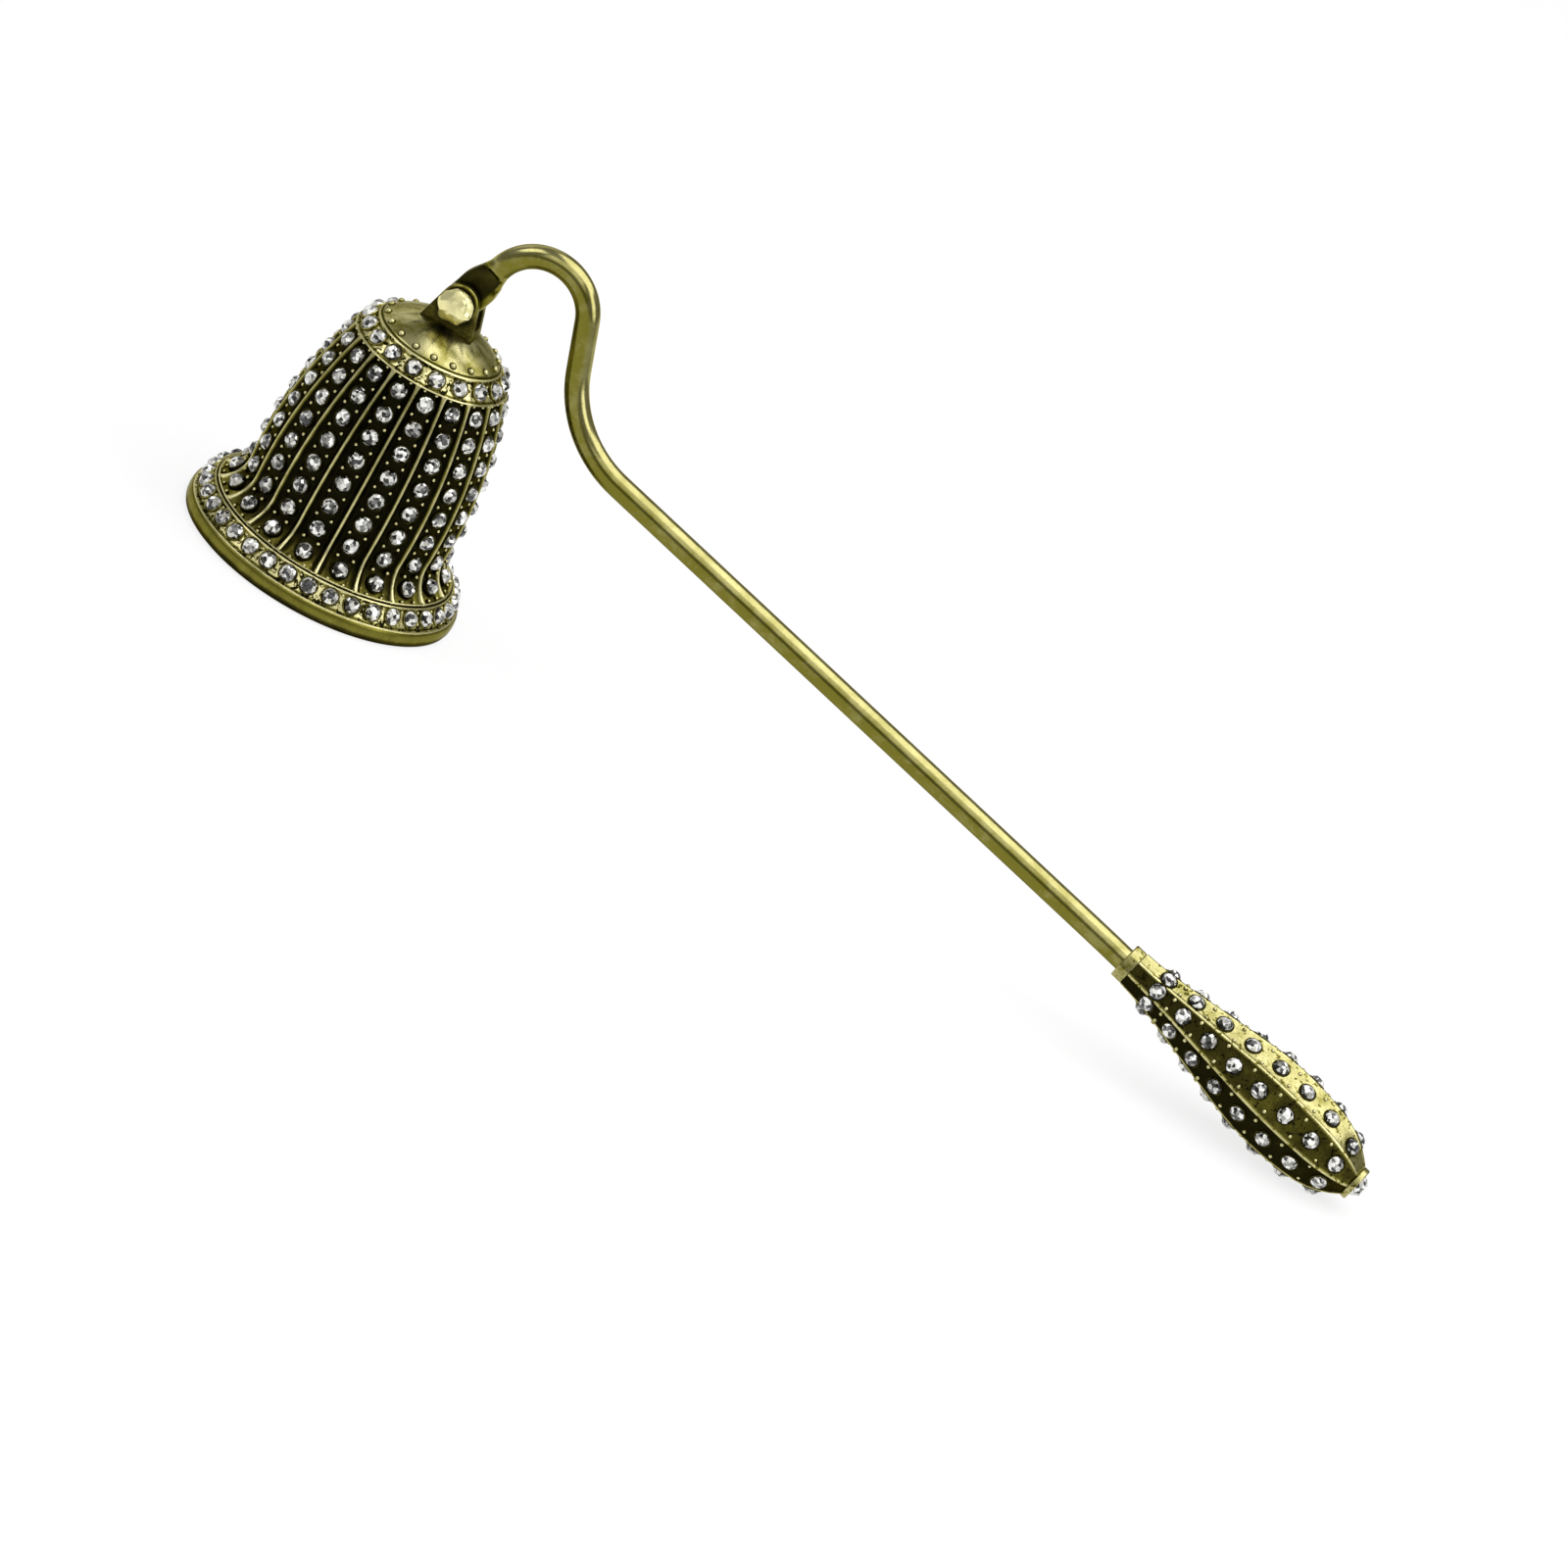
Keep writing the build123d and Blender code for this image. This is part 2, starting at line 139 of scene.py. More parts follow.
class HingeSizes(bpy.types.PropertyGroup):
    """The hinge's pin and the edges of its ears."""

    pivot_height: length("Pivot height", "Height of the pin's axis", 53.4)
    ear_face: length("Ear face", "Distance of each ear's outer face from the middle", 3.0)
    pin_radius: length("Pin", "Radius of the pin's shank", 1.0)
    head_radius: length("Head", "Widest radius of the pin's rough head", 3.3)
    head_height: length("Head height", "How far the head stands out of the ear", 4.0)
    edge: length("Edge", "Rounding of the cast edges", 0.35)


class RodSizes(bpy.types.PropertyGroup):
    """The bent rod, from its flat tang to its end inside the handle."""

    radius: length("Rod", "Radius of the round rod", 2.1)
    tang_half_thickness: length("Tang", "Half the thickness of the flat tang", 1.2)
    tang_end_radius: length("Tang end", "Radius of the tang's rounded end", 3.2)
    paddle_half_width: length("Paddle", "Half the width of the paddle at its widest", 3.3)
    paddle_widest: length("Widest at", "Distance from the pin to the paddle's widest place", 3.4)
    paddle_length: length("Paddle length", "Distance from the pin to the start of the bend", 8.8)
    scoop_radius: length("Scoop", "Radius of the round end of the scoop in the paddle", 3.4)
    scoop_distance: length("Scoop place", "Distance from the pin to the scoop's centre", 4.5)
    bend_radius: length("Gooseneck", "Radius of the gooseneck", 8.9)
    neck_length: length("Neck", "Length of the straight neck", 8.8)
    lower_bend_radius: length("Lower bend", "Radius of the lower bend", 20.3)
    shaft_length: length("Shaft", "Length of the straight shaft", 106.7)
    droop_radius: length("Droop", "Radius of the slight bend in front of the handle", 400.0)
    socket_depth: length("Socket", "Length of rod inside the handle", 12.0)
    tang_lean: degrees("Lean", "Lean of the tang", 18.8)
    bend_turn: degrees("Turn", "Turn of the gooseneck", 142.4)
    lower_turn: degrees("Lower turn", "Turn of the lower bend", 59.64)
    droop_turn: degrees("Droop turn", "Turn in front of the handle", 1.1)


class HandleSizes(bpy.types.PropertyGroup):
    """The drop-shaped handle, measured across its flats."""

    collar_length: length("Collar", "Length of the plain collar", 2.2)
    neck_apothem: length("Neck", "Distance from the axis to a flat beside the collar", 3.35)
    neck_radius: length("Neck arc", "Radius of the side where it starts to swell", 80.0)
    swell_length: length("Swell", "Length of the side's straight stretch", 14.9)
    belly_radius: length("Belly arc", "Radius of the side over the belly", 55.0)
    tip_radius: length("Tip arc", "Radius of the side next to the end cap", 16.0)
    hollow: length("Hollow", "How far each flat is dished between its ridges", 0.12)
    ridge_half_width: length("Ridge", "Half the width of a ridge's worn crest", 0.16)


class StoneSizes(bpy.types.PropertyGroup):
    """The cut stones, their dark seats and the grains of metal beside them."""

    bell_radius: length("Bell stone", "Radius of the stones on the bell", 1.45)
    bell_height: length("Bell stone height", "Height of the stones on the bell", 1.15)
    handle_radius: length("Handle stone", "Radius of the stones on the handle", 1.4)
    handle_height: length("Handle stone height", "Height of the stones on the handle", 0.85)
    end_radius: length("End stone", "Radius of the stone in the end cap", 2.2)
    end_height: length("End stone height", "Height of the stone in the end cap", 1.9)
    seat_width: length("Seat", "Width of the dark seat round each stone", 0.26)
    grain_radius: length("Grain", "Radius of the small grains of metal", 0.33)
    table_share: share("Table", "Radius of the flat table as a share of the stone's", 0.5)


class Colours(bpy.types.PropertyGroup):
    """The colours of the brass, its patina, the stones and the stage."""

    # Worn brass also serves as the painted highlight on the handle's upward faces and along the
    # rod's top.
    worn_brass: colour("Worn brass", "Brass on worn crests and smooth rounds", (0.66, 0.61, 0.31))
    olive_brass: colour("Olive brass", "Brass in the middle tone", (0.175, 0.16, 0.02))
    # Painted highlight: the pin's head is painted in this bright brass, standing in for the light
    # that it catches.
    bright_brass: colour("Bright brass", "Rubbed brass of the pin's head", (0.92, 0.86, 0.44))
    # The patina and the umber below also paint the shade under the handle and the rod and round the
    # pin's head.
    patina: colour("Patina", "Dark patina in the recesses", (0.010, 0.009, 0.003))
    umber: colour("Umber", "Thin patina at the edge of the dark", (0.055, 0.047, 0.009))
    stone_light: colour("Stone light", "Brightest flash in a stone", (0.96, 0.96, 0.92))
    stone_tint: colour("Stone tint", "Warm grey flash in a stone", (0.58, 0.57, 0.53))
    stone_dark: colour("Stone dark", "Darkest flash in a stone", (0.02, 0.02, 0.02))
    floor: colour("Floor", "The pale floor", (0.94, 0.94, 0.94))


class StageSettings(bpy.types.PropertyGroup):
    """The camera, the floor and the lamps."""

    distance: length("Distance", "Distance from the camera to the middle of the picture", 3000)
    lens: bpy.props.FloatProperty(
        name="Lens", description="Focal length of the camera", default=416.25, unit="CAMERA"
    )
    azimuth: degrees("Azimuth", "Turn of the camera round the object", 6.38)
    elevation: degrees("Elevation", "Camera's height over the floor", 22.38)
    roll: degrees("Roll", "Roll of the camera", 29.97)
    aim_x: length("Aim X", "The picture's middle along the rod", 86.23)
    aim_z: length("Aim Z", "The picture's middle above the floor", 10.94)
    floor_size: length("Floor", "Side of the square floor", 9000)


GROUPS = {
    "snuffer_bell": BellSizes,
    "snuffer_hinge": HingeSizes,
    "snuffer_rod": RodSizes,
    "snuffer_handle": HandleSizes,
    "snuffer_stones": StoneSizes,
    "snuffer_colours": Colours,
    "snuffer_stage": StageSettings,
}


class Wire:
    """An output socket that can be used in sums like a number."""

    def __init__(self, finish, socket):
        self.finish = finish
        self.socket = socket

    def sum(self, operation, first, second=0.0, clamp=False):
        settings = {"operation": operation, "use_clamp": clamp}
        return self.finish.node("Math", settings, {0: first, 1: second})

    def __add__(self, other):
        return self.sum("ADD", self, other)

    def __radd__(self, other):
        return self.sum("ADD", other, self)

    def __sub__(self, other):
        return self.sum("SUBTRACT", self, other)

    def __rsub__(self, other):
        return self.sum("SUBTRACT", other, self)

    def __mul__(self, other):
        return self.sum("MULTIPLY", self, other)

    def __rmul__(self, other):
        return self.sum("MULTIPLY", other, self)

    def kept_in(self):
        """The value held between nought and one."""
        return self.sum("ADD", self, 0.0, clamp=True)


class Finish:
    """One material while it is being made."""

    def __init__(self, name):
        self.material = bpy.data.materials.new(name)
        self.material.use_nodes = True
        self.tree = self.material.node_tree
        self.tree.nodes.clear()

    def node(self, kind, settings=None, sockets=None, output=0):
        """Add a node of a type, make its settings, fill its sockets and return one output."""
        made = self.tree.nodes.new("ShaderNode" + kind)
        for name, value in (settings or {}).items():
            if name == "stops":
                self.set_stops(made.color_ramp, value)
            else:
                setattr(made, name, value)
        for name, value in (sockets or {}).items():
            if isinstance(value, Wire):
                self.tree.links.new(value.socket, made.inputs[name])
            else:
                made.inputs[name].default_value = value
        return Wire(self, made.outputs[output])

    def set_stops(self, ramp, stops):
        """Give a ramp its grey stops as places and values."""
        while len(ramp.elements) < len(stops):
            ramp.elements.new(0.5)
        for element, (place, value) in zip(ramp.elements, stops):
            element.position = place
            element.color = (value, value, value, 1)

    def vector(self, operation, first, second=None):
        """Vector maths on a wire and a second wire or vector, or a number to scale it by."""
        sockets = {0: first}
        if second is not None:
            sockets["Scale" if operation == "SCALE" else 1] = second
        return self.node("VectorMath", {"operation": operation}, sockets)

    def millimetres(self):
        """The place on the piece, in millimetres."""
        return self.vector("SCALE", self.node("TexCoord", output="Object"), 1 / MM)

    def noise(self, place, scale, detail=3.0, roughness=0.55, distortion=0.0):
        sockets = {"Vector": place, "Scale": scale, "Detail": detail}
        sockets.update({"Roughness": roughness, "Distortion": distortion})
        return self.node("TexNoise", {}, sockets)

    def ramp(self, value, *stops):
        return self.node("ValToRGB", {"stops": stops}, {"Fac": value})

    def mix(self, factor, first, second):
        """A colour between two others."""
        sockets = {0: factor, 6: self.paint(first), 7: self.paint(second)}
        return self.node("Mix", {"data_type": "RGBA"}, sockets, output=2)

    def paint(self, value):
        """A colour as a socket takes it."""
        return value if isinstance(value, Wire) else (*value, 1.0)

    def recess(self):
        """The level of patina and painted light at a place: nought on a crest and one in the dark.
        It follows the depth in the relief, and on the rod, the handle and the hinge it also holds
        painted light and shade.
        """
        return self.node("Attribute", {"attribute_name": "recess"}, output="Fac")

    def bump(self, height, strength, depth_mm):
        sockets = {"Height": height, "Strength": strength, "Distance": depth_mm * MM}
        return self.node("Bump", {}, sockets)

    def close(self, sockets):
        """Finish the material with one shader."""
        shader = self.node("BsdfPrincipled", {}, sockets, output="BSDF")
        self.node_output(shader)
        return self.material

    def node_output(self, shader):
        end = self.tree.nodes.new("ShaderNodeOutputMaterial")
        self.tree.links.new(shader.socket, end.inputs["Surface"])


def cast_brass(name, colours, roughness, specks=0.0, worn="worn_brass"):
    """Antiqued cast brass: worn on the crests, olive on the faces, nearly black in the recesses."""
    finish = Finish(name)
    place = finish.millimetres()
    cloud = finish.noise(place, 0.32, 4.0, 0.6)
    fine = finish.noise(place, 2.6, 4.0, 0.65)
    pits = finish.noise(place, 7.0, 2.0, 0.5)
    spot_edge = 0.63 - specks * 0.1
    spots = finish.ramp(finish.noise(place, 1.1, 2.0, 0.6), (spot_edge, 0), (spot_edge + 0.05, 1))
    # The level holds patina, and on the handle, the hinge's ears and the pin's head also painted
    # light and shade.
    mottled = finish.recess() + (cloud - 0.5) * 0.6 + (fine - 0.5) * 0.35 + spots * specks
    level = (mottled + 0.5) * 0.6
    to_olive = finish.ramp(level, (0.06, 0), (0.3, 1))
    to_umber = finish.ramp(level, (0.34, 0), (0.54, 1))
    to_dark = finish.ramp(level, (0.5, 0), (0.76, 1))
    plain = finish.mix(to_olive, getattr(colours, worn), colours.olive_brass)
    stain_and_shade = finish.mix(to_umber, plain, colours.umber)
    rough = roughness + to_umber * 0.1 + to_dark * 0.15 + (pits - 0.5) * 0.14
    return finish.close(
        {
            "Base Color": finish.mix(to_dark, stain_and_shade, colours.patina),
            "Metallic": 1.0,
            "Roughness": rough.kept_in(),
            "Normal": finish.bump(fine + pits * 0.5 - spots * specks, 0.4, 0.06),
            "Specular Tint": (0.7, 0.66, 0.45, 1.0),
            "Coat Weight": (0.15 - to_umber * 0.15).kept_in(),
            "Coat Roughness": 0.15,
        }
    )


def satin_brass(name, colours, roughness, along, olive):
    """Smooth brass with the fine drawn-out scratches of a brushed surface."""
    finish = Finish(name)
    place = finish.millimetres()
    scratches = finish.noise(finish.vector("MULTIPLY", place, along), 4.0, 4.0, 0.6)
    cloud = finish.noise(place, 0.22, 4.0, 0.62, 0.4)
    specks = finish.ramp(finish.noise(place, 1.5, 3.0, 0.7), (0.62, 0), (0.74, 1))
    # On the rod this level carries painted shade along its underside and a painted highlight along
    # its top.
    depth = finish.recess()
    thin = finish.ramp(depth + (cloud - 0.5) * 0.35, (0.08, 0), (0.75, 1))
    tone = finish.ramp(cloud + (scratches - 0.5) * 0.3, (0.36, 0), (0.64, 1))
    share_olive = (tone * (olive[1] - olive[0]) + olive[0] + depth).kept_in()
    bright = finish.mix(share_olive, colours.worn_brass, colours.olive_brass)
    speckled = finish.mix(specks * 0.35, bright, colours.umber)
    rough = roughness + (scratches - 0.5) * 0.2 + thin * 0.2 + specks * 0.08
    return finish.close(
        {
            "Base Color": finish.mix(thin, speckled, colours.patina),
            "Metallic": 1.0,
            "Roughness": rough.kept_in(),
            "Normal": finish.bump(scratches, 0.22, 0.02),
            "Specular Tint": (0.8, 0.76, 0.5, 1.0),
            "Coat Weight": (0.08 - thin * 0.08).kept_in(),
            "Coat Roughness": 0.12,
        }
    )


def cut_stone(name, colours):
    """A clear, foil-backed stone: small tilted mirrors behind its facets, with painted reflections
    of light and dark in their colours.
    """
    finish = Finish(name)
    place = finish.millimetres()
    facets = {"Vector": place, "Scale": 1.5, "Randomness": 1.0}
    cells = finish.node("TexVoronoi", {"feature": "F1"}, facets, output="Color")
    tone = finish.node("SeparateColor", {}, {"Color": cells}, output=0)
    hue = finish.node("SeparateColor", {}, {"Color": cells}, output=1)
    lean = finish.vector("SCALE", finish.vector("SUBTRACT", cells, (0.5, 0.5, 0.5)), 1.1)
    tilted = finish.vector("ADD", finish.node("NewGeometry", output="Normal"), lean)
    # Painted reflections: the cells are painted dark, grey and white, standing in for dark and
    # bright surroundings mirrored in the stone.
    flash = finish.ramp(tone, (0.27, 0.0), (0.37, 0.25), (0.46, 0.5), (0.56, 1.0))
    tinted = finish.ramp(hue, (0.45, 0), (0.75, 1))
    light = finish.mix(tinted, colours.stone_light, colours.stone_tint)
    return finish.close(
        {
            "Base Color": finish.mix(flash, colours.stone_dark, light),
            "Metallic": 0.85 - flash * 0.5,
            "Roughness": 0.12,
            "Normal": finish.vector("NORMALIZE", tilted),
            "Coat Weight": 1.0,
            "Coat Roughness": 0.03,
        }
    )


def floor_paint(name, colours):
    """Pale matt paper with a faint tooth. It glows a little, so that it stays pale in shade."""
    finish = Finish(name)
    place = finish.millimetres()
    tooth = finish.noise(place, 0.8, 3.0, 0.6)
    ray = finish.node("LightPath", output="Is Camera Ray")
    glossy = finish.node("LightPath", output="Is Glossy Ray")
    through = finish.node("LightPath", output="Is Transmission Ray")
    seen = (ray + glossy + through).kept_in()
    pale = finish.mix(tooth * 0.08, colours.floor, (0.82, 0.82, 0.83))
    paper = {"Base Color": pale, "Roughness": 0.9, "Specular IOR Level": 0.1}
    paper["Normal"] = finish.bump(tooth, 0.1, 0.05)
    matt = finish.node("BsdfPrincipled", {}, paper, output="BSDF")
    glow = finish.node("Emission", {}, {"Color": (1, 1, 1, 1), "Strength": 1.0})
    finish.node_output(finish.node("MixShader", {}, {0: seen * 0.8, 1: matt, 2: glow}))
    return finish.material


# Each finish's maker, and its roughness and other settings.
FINISHES = {
    "Cast brass": (cast_brass, 0.3),
    "Band brass": (cast_brass, 0.3, 1.1),
    "Handle brass": (cast_brass, 0.27, 0.45),
    "Hinge brass": (cast_brass, 0.3),
    # Pin brass: its worn colour is the painted highlight colour of the pin's head.
    "Pin brass": (cast_brass, 0.36, 0.0, "bright_brass"),
    "Brushed dome": (satin_brass, 0.28, (1.0, 1.0, 0.3), (0.2, 0.95)),
    "Satin rod": (satin_brass, 0.2, (0.15, 1.0, 1.0), (0.85, 1.1)),
    "Cut stone": (cut_stone,),
    "Pale floor": (floor_paint,),
}


def finish_named(name):
    """A finish by its name, made once from the colours in the sidebar."""
    if name not in bpy.data.materials:
        maker, *settings = FINISHES[name]
        maker(name, bpy.context.scene.snuffer_colours, *settings)
    return bpy.data.materials[name]


def new_object(name, bm):
    """Turn a mesh in work into an object in the scene."""
    mesh = bpy.data.meshes.new(name)
    bm.to_mesh(mesh)
    bm.free()
    made = bpy.data.objects.new(name, mesh)
    bpy.context.scene.collection.objects.link(made)
    return made


def add_piece(name, bm, finishes, body, nodes=(), crease=40):
    """Turn a mesh in work into a piece that rides on its body and stands for its nodes."""
    bmesh.ops.recalc_face_normals(bm, faces=bm.faces)
    piece = new_object(name, bm)
    piece.data.shade_smooth()
    piece.data.set_sharp_from_angle(angle=math.radians(crease))
    for finish in finishes:
        piece.data.materials.append(finish_named(finish))
    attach(piece, body)
    if nodes:
        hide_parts(*nodes)
    return piece


def patina_and_light_layer(bm):
    """The layer that holds each point's level of patina and painted light."""
    return bm.verts.layers.float.get("recess") or bm.verts.layers.float.new("recess")


def bridge(bm, lower, upper, finish=0):
    """Quads between two closed rows of points. A row of one point is a tip."""
    count = max(len(lower), len(upper))
    for index in range(count):
        after = (index + 1) % count
        if len(lower) == 1:
            corners = (lower[0], upper[after], upper[index])
        elif len(upper) == 1:
            corners = (lower[index], lower[after], upper[0])
        else:
            corners = (lower[index], lower[after], upper[after], upper[index])
        bm.faces.new(corners).material_index = finish


def round_point(radius, angle, height=0.0):
    """A point at a radius and an angle round the Z axis."""
    return Vector((radius * math.cos(angle), radius * math.sin(angle), height))


def add_row(bm, points):
    """Add a row of points, each given with its level of patina and painted light."""
    layer = patina_and_light_layer(bm)
    row = []
    for point, depth in points:
        vertex = bm.verts.new(point)
        vertex[layer] = depth
        row.append(vertex)
    return row


def turn_on(bm, place, profile, sides):
    """A turned form on a plane, from its side given as radius, height and depth in the relief."""
    rows = []
    for radius, height, depth in profile:
        count = 1 if radius == 0 else sides
        angles = [math.tau * index / count for index in range(count)]
        points = [(place @ round_point(radius, angle, height), depth) for angle in angles]
        rows.append(add_row(bm, points))
    bridge_all(bm, rows)


def bridge_all(bm, rows):
    """Quads between each row of points and the next."""
    for lower, upper in zip(rows, rows[1:]):
        bridge(bm, lower, upper)


def smooth_step(low, high, value):
    """Nought at low and one at high, with soft ends. High can be the smaller of the two."""
    share_done = min(1.0, max(0.0, (value - low) / (high - low)))
    return share_done * share_done * (3 - 2 * share_done)


def hump(value, middle, width):
    """One at the middle of a smooth hump, and nought a few widths away."""
    return math.exp(-(((value - middle) / width) ** 2))


def swell(start, end, bulge, steps):
    """Points on an arc that bulges to the right of the way from start to end."""
    chord = end - start
    half = chord.length / 2
    radius = (half * half + bulge * bulge) / (2 * bulge)
    outward = Vector((chord.y, -chord.x)).normalized()
    centre = (start + end) / 2 - outward * (radius - bulge)
    return round_from(centre, start, end, steps)


def smooth_arc(start, direction, end, steps):
    """Points on the arc that leaves start in a direction and goes through end."""
    side = Vector((-direction.y, direction.x)).normalized()
    chord = end - start
    centre = start + side * (chord.length_squared / (2 * side.dot(chord)))
    return round_from(centre, start, end, steps)


def round_from(centre, start, end, steps):
    """Points on the shorter arc round a centre, from start to end."""
    first = math.atan2(start.y - centre.y, start.x - centre.x)
    turn = math.atan2(end.y - centre.y, end.x - centre.x) - first
    turn = (turn + math.pi) % math.tau - math.pi
    radius = (start - centre).length
    angles = [first + turn * index / steps for index in range(steps + 1)]
    return [centre + radius * Vector((math.cos(angle), math.sin(angle))) for angle in angles]


def cap_arc(edge_radius, edge_height, rise, steps):
    """Points on a round cap, from its edge up to the axis."""
    radius = (edge_radius**2 + rise**2) / (2 * rise)
    edge, top = Vector((edge_radius, edge_height)), Vector((0, edge_height + rise))
    return round_from(top - Vector((0, radius)), edge, top, steps)


class Path:
    """A line of runs and arcs in a plane, with a point and a heading at each step."""

    def __init__(self, place, heading):
        self.place = Vector(place)
        self.heading = heading
        self.points = []
        self.headings = []
        self.mark()

    def forward(self):
        return Vector((math.cos(self.heading), math.sin(self.heading)))

    def mark(self):
        self.points.append(self.place.copy())
        self.headings.append(self.heading)

    def run(self, distance, steps):
        for _ in range(steps):
            self.place += self.forward() * distance / steps
            self.mark()

    def arc(self, radius, turn, steps=None):
        """Go round a bend, in steps of at most three degrees where no number is given."""
        steps = steps or max(2, math.ceil(abs(turn) / math.radians(3)))
        chord = 2 * radius * math.sin(abs(turn) / steps / 2)
        for _ in range(steps):
            self.heading += turn / steps / 2
            self.place += self.forward() * chord
            self.heading += turn / steps / 2
            self.mark()


class Outline:
    """A side drawn as points of radius and height, read by the distance along it."""

    def __init__(self, points):
        self.points = [points[0]]
        for point in points[1:]:
            if (point - self.points[-1]).length > 1e-7:
                self.points.append(point)
        self.marks = [0.0]
        for before, after in zip(self.points, self.points[1:]):
            self.marks.append(self.marks[-1] + (after - before).length)

    @property
    def length(self):
        return self.marks[-1]

    def at(self, distance):
        """The point at a distance along the side."""
        distance = min(max(distance, 0.0), self.length)
        for index in range(1, len(self.marks)):
            if distance <= self.marks[index]:
                break
        low, high = self.marks[index - 1], self.marks[index]
        return self.points[index - 1].lerp(self.points[index], (distance - low) / (high - low))

    def outward(self, distance, reach=0.3 * MM):
        """The direction square to the side at a distance along it, away from the axis."""
        along = self.at(distance + reach) - self.at(distance - reach)
        return Vector((along.y, -along.x)).normalized()


def bell_side(sizes, inside=0.0):
    """The side from the skirt to the shoulder, at the ribs or at a depth below them."""
    waist = Vector((sizes.waist_radius - inside, sizes.waist_height))
    shoulder = Vector((sizes.shoulder_radius - inside, sizes.shoulder_height))
    skirt = Vector((sizes.skirt_radius - inside, sizes.skirt_height))
    body = swell(waist, shoulder, sizes.body_bulge, 40)
    flare = smooth_arc(waist, body[0] - body[1], skirt, 24)
    return flare[::-1] + body[1:]


def lip_side(sizes):
    """The rounded lip from the flat rim up to the lower band."""
    middle = sizes.lip_height / 2
    points = []
    for index in range(13):
        angle = math.pi * index / 12
        edge = sizes.rim_radius if angle < math.pi / 2 else sizes.lip_top_radius
        radius = edge + (sizes.lip_radius - edge) * math.sin(angle) ** 0.8
        points.append(Vector((radius, middle - middle * math.cos(angle))))
    return points


# Rows of points along the bell's outline, in millimetres: beside each ring line, and elsewhere.
RING_ROWS = (0.12, 0.24, 0.36, 0.48, 0.6, 0.75, 0.95)
RING_REACH = 1.0
ROW_STEP = 0.6
# Points across from each rib, in millimetres, and then as shares of the way to the panel's middle.
RIB_COLUMNS = (0.0, 0.1, 0.18, 0.24, 0.31, 0.38, 0.46, 0.58, 0.75, 0.95, 1.15, 1.35, 1.6)
PANEL_COLUMNS = (0.35, 0.7, 1.0)
# Depths in the relief for the patina: a ring line, the gap in the double one, and the two bands.
RING_LINE, DOUBLE_GAP, LOWER_BAND, UPPER_BAND = -0.6, 0.6, -0.38, -0.42
# How far to each side a ring line keeps its own patina.
LINE_REACH = 0.2 * MM


class BellRelief:
    """The cast relief: how far each place on the bell lies below the crests of its ribs."""

    def __init__(self, sizes):
        self.sizes = sizes
        lip, side = lip_side(sizes), bell_side(sizes)
        crown = Vector((sizes.crown_radius, sizes.crown_height))
        dome = cap_arc(sizes.crown_radius, sizes.crown_height, sizes.dome_rise, 24)
        self.outline = Outline(lip + side + [crown] + dome)
        self.rings = [self.mark_of(point) for point in (lip[-1], side[0], side[-1], crown)]
        lip_end, skirt, shoulder, crown_mark = self.rings
        gap = sizes.ring_gap
        self.lines = [lip_end, skirt - gap, skirt + gap, shoulder, crown_mark]

    def mark_of(self, point):
        """The distance along the outline of one of its points."""
        marked = zip(self.outline.points, self.outline.marks)
        return min(((place - point).length, mark) for place, mark in marked)[1]

    def from_line(self, mark):
        """The distance from a mark to the nearest ring line."""
        return min(abs(mark - line) for line in self.lines)

    def rows(self):
        """Distances along the outline, closer together beside the ring lines."""
        beside = [sign * step * MM for step in RING_ROWS for sign in (-1, 1)] + [0.0]
        marks = [ring + step for ring in self.rings for step in beside]
        for index in range(int(self.outline.length / (ROW_STEP * MM))):
            mark = index * ROW_STEP * MM
            if min(abs(mark - ring) for ring in self.rings) > RING_REACH * MM:
                marks.append(mark)
        return sorted(marks)

    def depth(self, mark, radius, across, angle):
        """The depth at a mark, a distance from the nearer rib and an angle in the panel."""
        sizes = self.sizes
        lip_end, skirt, shoulder, crown = self.rings
        if mark > crown:
            groove, middle, width = 0.1 * MM, crown + 0.5 * MM, 0.14 * MM
            return groove * hump(mark, middle, width)
        flare = math.exp(-min(abs(mark - skirt), abs(mark - shoulder)) / (0.9 * MM))
        crest = sizes.rib_half_width * (1 + 1.3 * flare)
        rib = smooth_step(crest * 0.4, crest * 2.2, across)
        if mark < lip_end:
            floor = 0.0
        elif skirt < mark < shoulder:
            flat = radius - (radius - sizes.panel_recess) / math.cos(angle)
            clear = max(0.5 * MM, radius * math.pi / sizes.rib_count - 1.75 * MM)
            valley = hump(across, 0.5 * MM + clear * 0.4, clear * 0.42)
            floor = (flat + sizes.groove_depth * valley) * rib
        else:
            floor = sizes.band_depth * (0.8 + 0.2 * rib if mark > shoulder else 1.0)
        line = sizes.ring_half_width
        return floor * smooth_step(line * 0.5, line * 1.7, self.from_line(mark))

    def darkness(self, mark, depth):
        """The level of patina and painted light: below nought where worn, and one where black.
        Patina fills the hollows, the panels are painted lighter towards the skirt, the lip is
        darker towards its bottom edge and the bands are darker in the crease beside each ring line.
        """
        lip_end, skirt, shoulder, crown = self.rings
        nearest = self.from_line(mark)
        if nearest < LINE_REACH:
            return RING_LINE
        if mark < lip_end:
            return 0.95 - 0.85 * smooth_step(0.7 * MM, 1.8 * MM, mark)
        if mark > crown:
            return min(0.7, depth / (0.12 * MM))
        if abs(mark - skirt) < LINE_REACH:
            return DOUBLE_GAP
        if skirt < mark < shoulder:
            # Painted light: the panels are painted lighter towards the skirt.
            painted_skirt_light = 1 - smooth_step(0, 8 * MM, mark - skirt)
            return min(0.95, depth / (0.5 * MM) - 0.25) - 0.7 * painted_skirt_light
        crease = 0.8 * hump(nearest, 0.5 * MM, 0.16 * MM)
        return crease + (LOWER_BAND if mark < skirt else UPPER_BAND)


